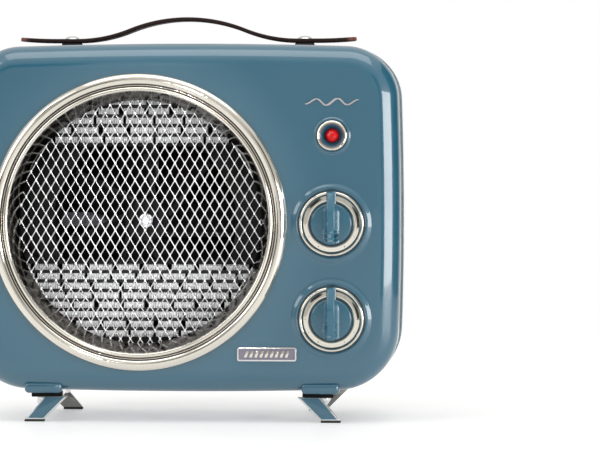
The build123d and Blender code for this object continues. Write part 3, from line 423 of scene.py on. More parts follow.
# %% [markdown]
# The holes and the rolled surrounds are prepared apart. Each is spun as a small open section
# whose outer rim lies flat on the front face; `triangle_fill` then closes the face between the
# outline and all those rims at once, so nothing has to be cut with a boolean. The flat lead round
# each hole matters: without it the long triangles of the fill would share the normals of the
# hole's edge, and the flat face would show streaks.

# %% Make a shell
def dished_shell(seam, face_y, edge_radius, inserts, holes):
    """A dished shell from the seam to its face, with inserts set in and round holes left open."""
    bm = bowed_outline(seam)
    push_out(bm, bm.faces[:], (0, face_y - seam, 0))
    rim = [e for e in bm.edges if all(abs(v.co.y - face_y) < 1e-3 for v in e.verts)]
    round_off(bm, rim, edge_radius, 14)
    face = [f for f in bm.faces if all(abs(v.co.y - face_y) < 1e-3 for v in f.verts)]
    bmesh.ops.inset_region(bm, faces=face, thickness=0.8, use_even_offset=True)
    flat = [f for f in bm.faces if len(f.verts) > 50]
    bmesh.ops.delete(bm, geom=flat, context="FACES_ONLY")
    lip = 0.6 if face_y < seam else -0.6
    for x, z, radius, lead in holes:
        inserts = inserts + [spin_section([(radius + lead, 0), (radius, 0), (radius, lip)], (x, face_y, z),
                                          steps=128, closed=False)]
    join(bm, *inserts)
    bmesh.ops.remove_doubles(bm, verts=bm.verts, dist=1e-4)
    open_edges = [e for e in bm.edges
                  if len(e.link_faces) < 2 and all(abs(v.co.y - face_y) < 1e-3 for v in e.verts)]
    bmesh.ops.triangle_fill(bm, use_beauty=True, use_dissolve=False, edges=open_edges)
    loose = [e for e in bm.edges if not e.link_faces]
    bmesh.ops.delete(bm, geom=loose, context="EDGES")
    bmesh.ops.recalc_face_normals(bm, faces=bm.faces)
    side = max(bm.faces, key=lambda f: f.calc_center_median().x)
    if side.normal.x < 0:
        bmesh.ops.reverse_faces(bm, faces=bm.faces)
    return bm


# %% Surrounds of the dials and of the lamp
surround_high = 1.55
dial_surround = [(29.6, 0), (28.6, 0), (28.2, -0.1), (27.8, -0.3), (27.1, -0.7), (26.3, -1.15), (25.7, -1.45),
                 (25.2, -surround_high), (24.7, -surround_high), (24.2, -1.35), (23.8, -0.95), (23.5, -0.3),
                 (23.5, 0), (22.4, 0), (5.2, 0), (5.2, 1.6)]
lamp_surround = [(14.2, 0), (13.1, 0), (12.7, -0.3), (12.3, -0.75), (11.85, -0.95), (11.4, -0.75),
                 (11.0, -0.3), (10.6, 0), (8.0, 0), (7.7, 0.25), (5.4, 2.8), (5.2, 3.1), (5.2, 7.0)]
inserts = [spin_section(dial_surround, (dial.x, front, dial.z), closed=False) for dial in (upper_dial,
                                                                                           lower_dial)]
inserts.append(spin_section(lamp_surround, (lamp.x, front, lamp.z), steps=64, closed=False))
print("surround section corners:", len(dial_surround), "and", len(lamp_surround))

# %% Front shell
ring_hole = 96.5
front_bm = dished_shell(trim_low.y, front, 16.0, inserts, [(outlet.x, outlet.z, ring_hole, 8.0)])
place_piece("front_shell_skin", front_bm, "body_paint", "front_shell", wall=wall, settle=False, crease=50,
            inside="inside_painted_shade")

# %% [markdown]
# A low lug stands out of the painted front over each front leg. It is a softened block that
# reaches into the shell.

# %% Lugs over the front legs
leg_lean, leg_width, leg_top, pad_high = 16.6, 14.1, 18.0, 1.5
foot_middle = {side: span("foot_screws")[1].x * side - 3.8 * side for side in (-1, 1)}
lug_half, lug_low, lug_high = 13.5, 20.6, 28.6
lug_front, lug_back = front + 3.4, front + 15
lugs = bmesh.new()
for middle in foot_middle.values():
    join(lugs, soft_block((middle - lug_half, lug_front, lug_low), (middle + lug_half, lug_back, lug_high),
                          3.0, 6))
place_piece("shell_lugs", lugs, "body_paint")
print("feet are centred on x =", foot_middle)

# %% [markdown]
# The rear shell is made the same way, with a slightly tighter edge, a large hole for the intake and
# a small one for the mains gland. Four rubber plugs close the wells of the case screws; each is a
# turned button pushed into the face, right where the flat begins to roll over into the edge.

# %% Rear shell
plug_x, plug_inset = 132.0, 28.5
screw_places = [(x, z) for x in (-plug_x, plug_x) for z in (body_low.z + plug_inset,
                                                            body_high.z - plug_inset)]
intake = span("rear_grille")[2]
gland = span("cord_gland")[2]
intake_hole, gland_hole = 70.2, 6.5
rear_holes = [(intake.x, intake.z, intake_hole, 8.0), (gland.x, gland.z, gland_hole, 1.5)]
rear_bm = dished_shell(trim_high.y, back, 14.0, [], rear_holes)
flat_area = sum(f.calc_area() for f in rear_bm.faces if abs(f.calc_center_median().y - back) < 0.01)
print(f"flat of the back {flat_area / 100:.0f} square centimetres")
place_piece("rear_shell_skin", rear_bm, "body_paint", "rear_shell", wall=wall, settle=False, crease=50,
            inside="inside_painted_shade")
plug_section = [(0, 0.75), (2.4, 0.65), (3.8, 0.3), (4.4, -0.25), (4.5, -1.2), (4.5, -2.2), (0, -2.2)]
plugs = bmesh.new()
for x, z in screw_places:
    join(plugs, spin_section(plug_section, (x, back, z), steps=48, closed=False))
place_piece("screw_plugs", plugs, "black_rubber")

# %% [markdown]
# Between the two shells runs a pale strip that stands one millimetre proud. It is the outline
# again, extruded by its width; its two end faces go, its rims are rounded, and a solidify
# modifier gives it the depth that closes the joint.

# %% Seam trim
trim = bowed_outline(trim_low.y, grow=1.0)
push_out(trim, trim.faces[:], (0, trim_high.y - trim_low.y, 0))
rims = [e for e in trim.edges if abs(e.verts[0].co.y - e.verts[1].co.y) < 1e-3]
round_off(trim, rims, 0.6, 3)
bmesh.ops.delete(trim, geom=[f for f in trim.faces if len(f.verts) > 50], context="FACES_ONLY")
bmesh.ops.recalc_face_normals(trim, faces=trim.faces)
if max(trim.faces, key=lambda f: f.calc_center_median().x).normal.x < 0:
    bmesh.ops.reverse_faces(trim, faces=trim.faces)
place_piece("seam_strip", trim, "pale_trim", "seam_trim", wall=3.0, settle=False)

# %% [markdown]
# ## The outlet
# The ring is the showpiece: a broad convex band, a double groove, a bright bead and a polished
# wall that dives to the mesh, where it takes a darker copy of the plating: painted shade for the
# dark that the wall mirrors there. All of it is one section. The band's curve is drawn with a few
# corners and smooth shading; only the true arrises get a bevel.
# Two brown lines lie in the double groove: painted reflection, for the dark that the real groove mirrors.

# %% Polished ring
ring_r = (ring_high.x - ring_low.x) / 2
mesh_low, mesh_high, _ = span("grille_mesh")
mesh_y = mesh_low.y - front  # how deep the mesh lies behind the front face
ring_section = [
    (ring_r, 0), (ring_r, -0.9, 0.25), (ring_r - 0.5, -2.2), (ring_r - 1.4, -3.4), (ring_r - 2.6, -4.3),
    (ring_r - 4.0, -4.8), (ring_r - 5.4, -4.9), (ring_r - 6.6, -4.5), (ring_r - 7.5, -3.8, 0.2),
    (ring_r - 7.7, -1.6), (ring_r - 8.4, -1.6), (ring_r - 8.5, -3.3, 0.08), (ring_r - 8.9, -3.3, 0.08),
    (ring_r - 9.0, -1.6), (ring_r - 9.8, -1.6), (ring_r - 9.9, -3.4, 0.15), (ring_r - 10.7, -4.1),
    (ring_r - 11.7, -4.2), (ring_r - 12.5, -3.7), (ring_r - 12.9, -2.6, 0.3),
    (86.3, mesh_y, 0.2), (95.8, mesh_y), (95.8, mesh_y - 1.4), (87.9, mesh_y - 1.4), (ring_r - 11.5, 0),
]
ring_bm = spin_section(ring_section, (outlet.x, front, outlet.z), steps=192)
# Faces deep in the throat take the second, darker plating: painted shade.
for face in ring_bm.faces:
    middle = face.calc_center_median()
    face.material_index = int(hypot(middle.x - outlet.x, middle.z - outlet.z) < ring_r - 13.1)
place_piece("outlet_ring", ring_bm, "bright_ring", "grille_ring", crease=42, inside="throat_painted_shade")
# The brown groove lines are painted reflection.
groove_shades = bmesh.new()
for inner, outer in ((8.35, 7.75), (9.75, 9.1)):
    line = [(ring_r - inner, -2.4), (ring_r - outer, -2.4), (ring_r - outer, -1.5), (ring_r - inner, -1.5)]
    join(groove_shades, spin_section(line, (outlet.x, front, outlet.z), steps=192))
place_piece("groove_shade_lines", groove_shades, "groove_painted_shade", slot="dark_steel")
print(f"ring radius {ring_r:.1f}, mesh {mesh_y:.1f} behind the face")

# %% [markdown]
# Expanded metal is slit and stretched: every strand is a flat slat, tilted, and the slats meet in
# small knuckles. One knuckle with its two rising strands is built from blocks of a few faces and
# then laid out over the lattice with `duplicate`. The two directions of strand lean opposite
# ways, which is why one set shines and the other stays grey. A modifier array would fill a
# rectangle; copying by hand keeps just the units that lie inside the ring.

# %% One unit of the mesh
cell_wide, cell_high = 7.1, 11.9
strand_wide, strand_thick = 0.82, 0.85
strand_tilt = radians(34)


def strand(side):
    """A slat from a knuckle up to the next one, rolled about its own length."""
    bm = bmesh.new()
    run = Vector((side * cell_wide / 2, 0, cell_high / 2))
    bmesh.ops.create_cube(bm, size=1.0)
    bmesh.ops.scale(bm, vec=(strand_wide, strand_thick, run.length * 1.04), verts=bm.verts)
    uprights = [e for e in bm.edges if abs(e.verts[0].co.z - e.verts[1].co.z) > 1]
    round_off(bm, uprights, 0.2, 1)
    roll = Matrix.Rotation(side * strand_tilt, 4, "Z")
    lean = Matrix.Rotation(Vector((0, 0, 1)).angle(run) * side, 4, "Y")
    bmesh.ops.transform(bm, matrix=Matrix.Translation(run / 2) @ lean @ roll, verts=bm.verts)
    return bm


knuckle = soft_block((-0.75, -0.62, -1.15), (0.75, 0.5, 1.15), 0.3, 1)
unit = join(bmesh.new(), strand(1), strand(-1), knuckle)
print("one unit has", len(unit.faces), "faces")

# %% Lay the units out
mesh_plane = (mesh_low.y + mesh_high.y) / 2
lattice_reach, lattice_r = 96, 90.5  # the area that is tried, and the radius inside which a unit is kept
lattice = bmesh.new()
unit_mesh = bpy.data.meshes.new("mesh_unit")
unit.to_mesh(unit_mesh)
unit.free()
lattice.from_mesh(unit_mesh)
first = lattice.verts[:] + lattice.edges[:] + lattice.faces[:]
columns, rows = int(lattice_reach / (cell_wide / 2)) + 1, int(lattice_reach / (cell_high / 2)) + 1
laid = 0
for row in range(-rows, rows + 1):
    for column in range(-columns, columns + 1):
        x, z = column * cell_wide / 2, row * cell_high / 2
        if (row + column) % 2 or hypot(x, z + cell_high / 4) > lattice_r:
            continue
        copy = bmesh.ops.duplicate(lattice, geom=first)["geom"]
        points = [g for g in copy if isinstance(g, bmesh.types.BMVert)]
        bmesh.ops.translate(lattice, vec=(outlet.x + x, mesh_plane, outlet.z + z), verts=points)
        laid += 1
bmesh.ops.delete(lattice, geom=[g for g in first if isinstance(g, bmesh.types.BMVert)], context="VERTS")
mesh_rim = [(90.0, -0.6, 0.2), (95.6, -0.6), (95.6, 0.6), (90.0, 0.6, 0.2)]
join(lattice, spin_section(mesh_rim, (outlet.x, mesh_plane, outlet.z)))
place_piece("expanded_mesh", lattice, "mesh_steel", "grille_mesh", crease=30)
print(laid, "units laid")

# %% [markdown]
# ## The heater behind the mesh
# Between the ceramic bars run folded aluminium ribbons. One fold is a V of two faces; a row is
# that fold copied along X, with a few folds left out where the real ribbon is cut. The ribbon is
# lit from the front and its folds face left and right in turn, so a row reads as bright blocks
# with fine upright hatching.

# %% Folded fins
fold_pitch, fold_deep, ribbon_wall = 1.64, 3.2, 0.25
fin_high, row_pitch = 4.2, 6.8


def fin_rows(name, node):
    """Rows of folded ribbon that fill a node's box, with cuts that step from row to row."""
    low, high, _ = span(node)
    count = round((high.z - low.z + 2.2) / row_pitch)
    folds = int((high.x - low.x) / fold_pitch)
    bm = bmesh.new()
    for row in range(count):
        for fold in range(folds):
            if (fold + row * 5) % (11 + row % 3) < 1 + row % 2:
                continue
            x, z = low.x + (fold + 0.5) * fold_pitch, low.z + row * row_pitch + 0.2
            lead = [bm.verts.new((x + dx * fold_pitch / 2, low.y + dy * fold_deep, z))
                    for dx, dy in ((-1, 1), (-0.12, 0), (0.12, 0), (1, 1))]
            line = [bm.edges.new(pair) for pair in zip(lead, lead[1:])]
            grown = bmesh.ops.extrude_edge_only(bm, edges=line)["geom"]
            top = [g for g in grown if isinstance(g, bmesh.types.BMVert)]
            bmesh.ops.translate(bm, vec=(0, 0, fin_high), verts=top)
    for face in bm.faces:
        face.normal_update()
        if face.normal.y > 0:
            face.normal_flip()
    print(name, "has", count, "rows of", folds, "folds")
    return place_piece(name, bm, "fin_aluminium", node, wall=ribbon_wall, settle=False, crease=30)


fin_rows("upper_folded_fins", "upper_fins")
fin_rows("lower_folded_fins", "lower_fins")

# %% [markdown]
# ## Controls
# A dial is a dished, plated ring with a raised rim; small engraved-looking ticks stand on it so
# that the pointer has something to point at. The knob has a round base, a tall ridge to grip and
# a pointer that runs out over the ring. The ridge is a prism: a section with hollowed flanks,
# extruded in steps, whose rows of vertices are then moved so that its ends follow the round base.
# A hollow flank turns through every angle, so somewhere on it there is always a line of light.

# %% Dial rings with their ticks
dial_section = [(15.0, 0), (15.0, -1.0, 0.15), (15.5, -1.5), (16.2, -1.95), (17.0, -2.0), (18.4, -1.75),
                (19.3, -1.5),
                (19.8, -1.4), (20.2, -1.7), (20.7, -2.4), (21.2, -2.85), (21.8, -3.0), (22.3, -2.85),
                (22.7, -2.4), (23.0, -1.6), (23.0, 0)]
for name, dial, node in (("selector_dial", upper_dial, "upper_dial_ring"),
                         ("thermostat_dial_ring", lower_dial, "lower_dial_ring")):
    dial_bm = spin_section(dial_section, (dial.x, front, dial.z), steps=128)
    place_piece(name, dial_bm, "bright_ring", node, crease=42)

ticks = bmesh.new()
for dial in (upper_dial, lower_dial):
    for step in range(11):
        angle = radians(-150 + 30 * step)
        half, start = (0.24, 17.2) if step % 5 == 0 else (0.13, 17.8)
        tick = soft_block((-half, -1.85, start), (half, -1.2, 18.9), 0.05, 1)
        at = Matrix.Translation((dial.x, front, dial.z))
        bmesh.ops.transform(tick, matrix=at @ Matrix.Rotation(angle, 4, "Y"), verts=tick.verts)
        join(ticks, tick)
place_piece("dial_ticks", ticks, "dark_steel")

# %% Knobs
knob_r, ridge_high, ridge_top, ridge_base = 14.5, 17.0, 2.1, 4.9
pointer_end = 22.9


def turning_knob(name, node, body, dial):
    """A round base, a tall ridge across it and a pointer over the dial."""
    base = [(0, -5.9), (knob_r - 2.4, -6.0), (knob_r - 0.2, -5.7, 0.9), (knob_r, -0.4, 0.2),
            (9.6, -0.4), (9.6, -3.6), (3.05, -3.6), (3.05, -5.0), (0, -5.0)]
    knob = spin_section(base, (0, 0, 0), steps=96, closed=False)
    ridge = bmesh.new()
    flank = [(ridge_base + 1.0, -4.4), (ridge_base + 1.0, -6.0), (ridge_base, -6.3), (4.2, -7.0),
             (3.65, -8.2),
             (3.3, -9.8), (3.0, -12.0), (2.7, -14.6), (ridge_top + 0.3, -16.4), (ridge_top, -16.85),
             (ridge_top - 0.4, -ridge_high)]
    section = [(-x, y) for x, y in flank] + flank[::-1]
    end = ridge.faces.new([ridge.verts.new((x, y, -knob_r + 0.4)) for x, y in section])
    steps = 30
    for _ in range(steps):
        grown = push_out(ridge, [end], (0, 0, (pointer_end + knob_r - 0.4) / steps))
        end = next(g for g in grown if isinstance(g, bmesh.types.BMFace))
    for v in ridge.verts:
        x, y, z = v.co
        narrow = min(1, max(0, (z - 8.0) / 6.0)) ** 2
        v.co.x *= 1 - narrow * (0.42 if abs(x) > 3 else 0.1)
        fall = min(1, max(0, (z - 7.0) / 15.0))
        v.co.y = y + (-3.9 - y) * 0.52 * fall ** 1.3 if y < -4.5 else y + 0.5 * narrow
        reach = knob_r - 0.4 if z < 0 else pointer_end
        v.co.z = z * sqrt(reach ** 2 - v.co.x ** 2) / reach
    bmesh.ops.recalc_face_normals(ridge, faces=ridge.faces)
    join(knob, ridge)
    bmesh.ops.translate(knob, vec=(dial.x, front, dial.z), verts=knob.verts)
    return place_piece(name, knob, "body_moulding", node, body=body, crease=34)


turning_knob("selector_grip", "selector_knob", "selector", upper_dial)
turning_knob("thermostat_grip", "thermostat_knob", "thermostat_dial", lower_dial)

# %% [markdown]
# ## The pilot lamp
# A plated bezel frames a short painted cone, and at its bottom sits a red cut lens. The lens is
# a turned dome too, but with few steps and flat shading: each step becomes a facet.

# %% Bezel and lens
bezel_section = [(8.3, 0), (10.9, 0), (10.9, -0.5), (10.7, -1.3), (10.3, -1.9), (9.9, -2.1), (9.5, -1.9),
                 (9.2, -1.2),
                 (8.9, -1.0), (8.6, -1.2), (8.3, -0.6)]
place_piece("lamp_ring", spin_section(bezel_section, (lamp.x, front, lamp.z), steps=96), "bright_ring",
            "lamp_bezel")
lens_section = [(0, -1.6), (1.5, -1.45), (3.1, -0.5), (4.3, 0.7), (4.7, 1.9), (4.7, 6.0), (6.4, 6.0),
                (6.4, 8.0), (0, 8.0)]
lens = spin_section(lens_section, (lamp.x, front, lamp.z), steps=12, closed=False)
place_piece("cut_lens", lens, "red_lens", "lamp_lens", crease=8)

# %% [markdown]
# ## Badge and flourish
# The badge is a small pressed plate: a rim, a sunken field and raised strokes. The strokes here are a
# plain row of slanted bars, a pattern that belongs to nobody. The flourish above the lamp is a
# thin plated wave; a grid of one row is bent along a sine and tapered, then extruded.

# %% Badge
badge_low, badge_high, badge = span("badge_plate")


def rounded_plate(low, high, radius, y, thick, arris):
    """A thin upright plate with round corners and softened front edges."""
    bm = bmesh.new()
    corners = [bm.verts.new((x, y, z)) for x, z in ((low.x, low.z), (high.x, low.z), (high.x, high.z),
                                                    (low.x, high.z))]
    bm.faces.new(corners)
    round_off(bm, corners, radius, 6, "VERTICES")
    push_out(bm, bm.faces[:], (0, -thick, 0))
    edges = [e for e in bm.edges if all(abs(v.co.y - (y - thick)) < 1e-3 for v in e.verts)]
    if arris:
        round_off(bm, edges, arris, 2)
    bm.normal_update()
    return bm


plate = rounded_plate(badge_low, badge_high, 1.5, front, 1.2, 0.25)
field = [f for f in plate.faces if len(f.verts) > 12 and f.calc_center_median().y < front - 1]
bmesh.ops.inset_region(plate, faces=field, thickness=0.9, use_even_offset=True)
field = [f for f in plate.faces if len(f.verts) > 12 and f.calc_center_median().y < front - 1]
bmesh.ops.inset_region(plate, faces=field, thickness=0.15, depth=-0.5, use_even_offset=True)
for face in plate.faces:
    face.material_index = int(len(face.verts) > 12 and face.calc_center_median().y < front - 0.4)
place_piece("badge", plate, "badge_metal", "badge_plate", inside="badge_field")

strokes = bmesh.new()
for bar in range(9):
    stroke = soft_block((-1.0, -0.95, -2.3), (1.0, -0.6, 2.3), 0.15, 2)
    slant = Matrix(((1, 0, 0.28, 0), (0, 1, 0, 0), (0, 0, 1, 0), (0, 0, 0, 1)))
    at = Matrix.Translation((badge.x - 14.4 + 3.6 * bar, front, badge.z))
    bmesh.ops.transform(stroke, matrix=at @ slant, verts=stroke.verts)
    join(strokes, stroke)
place_piece("badge_strokes", strokes, "bright_ring")

# %% Flourish
wave_mid = span("flourish")[2]
wave = bmesh.new()
bmesh.ops.create_grid(wave, x_segments=64, y_segments=2, size=1.0)
for v in wave.verts:
    run, side = v.co.x, v.co.y
    middle = 2.3 * sin(run * pi * 2.5) * (1 - 0.35 * run * run)
    thick = 0.3 + 0.75 * (1 - abs(run)) ** 0.5 * abs(cos(run * pi * 2.5)) ** 0.7
    v.co = (wave_mid.x + run * 18.8 + 0.16 * middle, front, wave_mid.z + middle + side * thick)
push_out(wave, wave.faces[:], (0, -0.5, 0))
place_piece("flourish_wave", wave, "badge_metal", "flourish", crease=50)

# %% [markdown]
# ## The strap
# The handle is a leather strap, flat over the pads and arched between them. Leather is thick and
# soft: its edges are rounded and burnished dark, its top has a grain and faint creases where it
# bends. Cloth simulation would spoil the clean arch, so a fine grid is bent along the strap's
# own line, given its thickness, and its edges are bevelled.

# %% The line of the strap
strap_low, strap_high, strap = span("handle_strap")
strap_thick, strap_half = 2.8, (strap_high.x - strap_low.x) / 2
strap_bend, crown_share = 80.0, 0.52
free_start, free_long = 94, 28  # where the loose end begins to lift, and how far it runs
rise = strap_high.z - strap_low.z - strap_thick
slope_end = 2 * atan(rise / strap_bend)
crown_x = crown_share * strap_bend
crown_radius, hollow_radius = crown_x / sin(slope_end), (strap_bend - crown_x) / sin(slope_end)


def strap_line(x):
    """Height of the strap's middle line and its slope at a place along it."""
    run, sign = abs(x), (1 if x > 0 else -1)
    if run < crown_x:
        drop = sqrt(crown_radius ** 2 - run ** 2)
        return strap_high.z - strap_thick / 2 - crown_radius + drop, -sign * run / drop
    base = strap_low.z + strap_thick / 2
    if run < strap_bend:
        gap = strap_bend - run
        drop = sqrt(hollow_radius ** 2 - gap ** 2)
        return base + hollow_radius - drop, -sign * gap / drop
    lift = max(0, run - free_start) / free_long
    return base + 1.3 * lift ** 2, sign * 0.09 * lift


print(f"strap rises {rise:.1f} mm, crown radius {crown_radius:.0f}, hollow radius {hollow_radius:.0f}")

# %% Leather strap
leather = bmesh.new()
bmesh.ops.create_grid(leather, x_segments=180, y_segments=12, size=1.0)
strap_wide = strap_high.y - strap_low.y
for v in leather.verts:
    run, side = v.co.x * strap_half, v.co.y * strap_wide / 2
    tip = strap_half - strap_wide / 2
    if abs(run) > tip:
        side *= sqrt(max(0.0004, 1 - ((abs(run) - tip) / (strap_wide / 2)) ** 2))
    v.co = (run, side, 0)
bmesh.ops.remove_doubles(leather, verts=leather.verts, dist=0.02)
push_out(leather, leather.faces[:], (0, 0, strap_thick))
bmesh.ops.recalc_face_normals(leather, faces=leather.faces)
arris = [e for e in leather.edges if len(e.link_faces) == 2 and e.calc_face_angle(0) > radians(60)]
round_off(leather, arris, 0.75, 3)
for v in leather.verts:
    height, slope = strap_line(v.co.x)
    off = v.co.z - strap_thick / 2
    length = sqrt(1 + slope * slope)
    v.co = (v.co.x - off * slope / length, strap.y + v.co.y, height + off / length)

# %% [markdown]
# Leather needs its own group: fine cells from a Voronoi pattern, soft creases across the strap,
# and a mask that darkens the burnished edges. It reads Object coordinates, centred on
# the strap, so the edge mask is simply the distance from the strap's middle line.

# %% Leather finish
def build_leather():
    group, start, end = new_group(
        "leather_grain",
        [("Middle", "NodeSocketFloat", 0.0), ("Half Width", "NodeSocketFloat", 0.009),
         ("Cells", "NodeSocketFloat", 900.0), ("Strength", "NodeSocketFloat", 0.4)],
        [("Worn", "NodeSocketFloat"), ("Edge", "NodeSocketFloat"), ("Normal", "NodeSocketVector")],
    )
    place = add_node(group, "ShaderNodeTexCoord")
    axes = add_node(group, "ShaderNodeSeparateXYZ")
    cells = add_node(group, "ShaderNodeTexVoronoi", Randomness=0.9)
    crease_stretch = add_node(group, "ShaderNodeVectorMath", operation="MULTIPLY")
    crease_stretch.inputs[1].default_value = (1.0, 0.22, 0.4)
    creases = add_node(group, "ShaderNodeTexNoise", Scale=260.0, Detail=3.0, Distortion=0.8)
    worn = add_node(group, "ShaderNodeTexNoise", Scale=55.0, Detail=5.0, Roughness=0.7)
    off = add_node(group, "ShaderNodeMath", operation="SUBTRACT")
    size = add_node(group, "ShaderNodeMath", operation="ABSOLUTE")
    share = add_node(group, "ShaderNodeMath", operation="DIVIDE")
    edge = add_node(group, "ShaderNodeMapRange")
    edge.inputs["From Min"].default_value = 0.84
    edge.inputs["From Max"].default_value = 0.97
    height = add_node(group, "ShaderNodeMath", operation="MULTIPLY_ADD")
    height.inputs[1].default_value = 0.55
    bump = add_node(group, "ShaderNodeBump", Distance=0.0003)
    wire(group, (place, "Object", axes, 0), (place, "Object", cells, "Vector"),
         (place, "Object", worn, "Vector"), (place, "Object", crease_stretch, 0),
         (crease_stretch, 0, creases, "Vector"), (start, "Cells", cells, "Scale"), (axes, "Y", off, 0),
         (start, "Middle", off, 1), (off, 0, size, 0), (size, 0, share, 0), (start, "Half Width", share, 1),
         (share, 0, edge, "Value"), (cells, "Distance", height, 0), (creases, "Fac", height, 2),
         (start, "Strength", bump, "Strength"), (height, 0, bump, "Height"), (worn, "Fac", end, "Worn"),
         (edge, "Result", end, "Edge"), (bump, "Normal", end, "Normal"))
    return group


leather_grain = build_leather()
hide = bpy.data.materials.new("strap_leather")
hide.use_nodes = True
tree = hide.node_tree
shader = tree.nodes["Principled BSDF"]
shader.inputs["Roughness"].default_value = 0.5
shader.inputs["Specular IOR Level"].default_value = 0.25
grain = add_node(tree, "ShaderNodeGroup", node_tree=leather_grain)
grain.inputs["Middle"].default_value = strap.y * MM
body_tone = add_node(tree, "ShaderNodeMix", data_type="RGBA")
body_tone.inputs["A"].default_value = linear(84, 44, 37)
body_tone.inputs["B"].default_value = linear(126, 74, 62)
edge_tone = add_node(tree, "ShaderNodeMix", data_type="RGBA")
edge_tone.inputs["B"].default_value = linear(34, 17, 14)
wire(tree, (grain, "Worn", body_tone, "Factor"), (grain, "Edge", edge_tone, "Factor"),
     (body_tone, "Result", edge_tone, "A"), (edge_tone, "Result", shader, "Base Color"),
     (grain, "Normal", shader, "Normal"))
finishes["strap_leather"] = hide
place_piece("leather_strap", leather, "strap_leather", "handle_strap", crease=60)

# %% [markdown]
# Two black blocks lift the strap off the shell and two bright domed studs clamp it down.

# %% Pads and studs
block_low, block_high, _ = span("strap_pads")
stud_high = span("strap_studs")[1]
stud_r, pad_half, pad_tall = 5.3, 6.5, 4.6
stud_at = stud_high.x - stud_r
pads, studs = bmesh.new(), bmesh.new()
stud_section = [(0, 2.15), (2.2, 2.0), (3.9, 1.45), (4.9, 0.75), (5.3, 0.1), (5.3, 0.0, 0.1), (2.0, 0.0),
                (2.0, -9.0), (0, -9.0)]
for side in (-1, 1):
    block = soft_block((side * stud_at - pad_half, block_low.y, block_high.z - pad_tall),
                       (side * stud_at + pad_half, block_high.y, block_high.z), 0.7)
    for v in block.verts:
        flare = (block_high.z - v.co.z) / pad_tall
        v.co.x = side * stud_at + (v.co.x - side * stud_at) * (1 + 0.08 * flare)
    join(pads, block)
    join(studs, spin_section(stud_section, (side * stud_at, strap.y, stud_high.z - 2.2), upright=True,
                             steps=64,
                             closed=False))
place_piece("strap_pad_blocks", pads, "black_rubber", "strap_pads")
place_piece("domed_studs", studs, "foot_chrome", "strap_studs")

# %% [markdown]
# ## Feet
# A foot is two flat legs that cross like an X when seen from the front, on a rail under the
# body. A leg is a leaning four-cornered plate: its face is made from four vertices, extruded by
# the leg's thickness and bevelled. The front legs carry a painted panel, a second plate that
# stands half a millimetre proud inside the plated edge. A dark block fills the gap between each
# foot and the body: painted shadow, for the shade in that gap.

# %% Legs, rails and panels
leg_thick = 5.5


def leg_plate(middle, lean, y, thick, margin, rounding):
    """A leaning plate between y and y + thick, smaller all round by its margin."""
    bm = bmesh.new()
    slope = (leg_lean + leg_width) / (leg_top - pad_high)
    low, high = pad_high + margin, leg_top - margin * 0.4
    inner = margin * sqrt(1 + slope * slope) * 0.72
    outline = []
    for z, side in ((high, -1), (high, 1), (low, 1), (low, -1)):
        up = (z - pad_high) / (leg_top - pad_high)
        edge = -leg_lean * up if side < 0 else leg_width * (1 - up)
        outline.append((middle + lean * (edge - side * inner), y, z))
    bm.faces.new([bm.verts.new(p) for p in outline])
    push_out(bm, bm.faces[:], (0, thick, 0))
    round_off(bm, bm.edges[:], rounding, 3)
    return bm


front_leg, rear_leg = front + 9.0, front + 112.0
panels, shadow_blocks = bmesh.new(), bmesh.new()
for side, node in ((-1, "left_foot"), (1, "right_foot")):
    middle = foot_middle[side]
    foot = join(bmesh.new(), leg_plate(middle, side, front_leg, leg_thick, 0, 0.5),
                leg_plate(middle, -side, rear_leg, leg_thick, 0, 0.5),
                soft_block((middle - 5, front_leg + 1, 12.5), (middle + 5, rear_leg + leg_thick - 1, 20),
                           0.8),
                soft_block((middle - 5, front_leg + 8, 19), (middle + 5, rear_leg + leg_thick - 1, 23.2),
                           0.5))
    # The rear legs take the darker plating: painted shade.
    for face in foot.faces:
        face.material_index = int(face.calc_center_median().y > rear_leg - 1)
    place_piece(f"{'left' if side < 0 else 'right'}_crossed_foot", foot, "foot_chrome", node,
                inside="shaded_chrome")
    reach = sorted((middle - 13 * side, middle + 9 * side))
    join(shadow_blocks, soft_block((reach[0], front_leg + 0.3, 17.6), (reach[1], front_leg + 5, 22), 0.6))
    join(panels, leg_plate(middle, side, front_leg - 0.5, 1.2, 1.1, 0.25))
place_piece("leg_panels", panels, "body_paint")
place_piece("leg_shadow_blocks", shadow_blocks, "black_moulding")

# %% Rubber soles
soles = bmesh.new()
for side, middle in foot_middle.items():
    for lean, y in ((1, front_leg), (-1, rear_leg)):
        x = middle + side * lean * leg_width / 2
        join(soles, soft_block((x - leg_width / 2, y, 0), (x + leg_width / 2, y + leg_thick, pad_high), 0.35,
                               2))
place_piece("foot_soles", soles, "black_rubber", "foot_pads")

# %% [markdown]
# ## The back
# The intake is a wheel of rounded rings and spokes in a flange; turned rings and soft blocks
# give every bar the small radius that a moulded grille has. A black gauze lies behind the
# wheel, so no daylight shows through the heater: a dark sheet that paints in the shade inside.

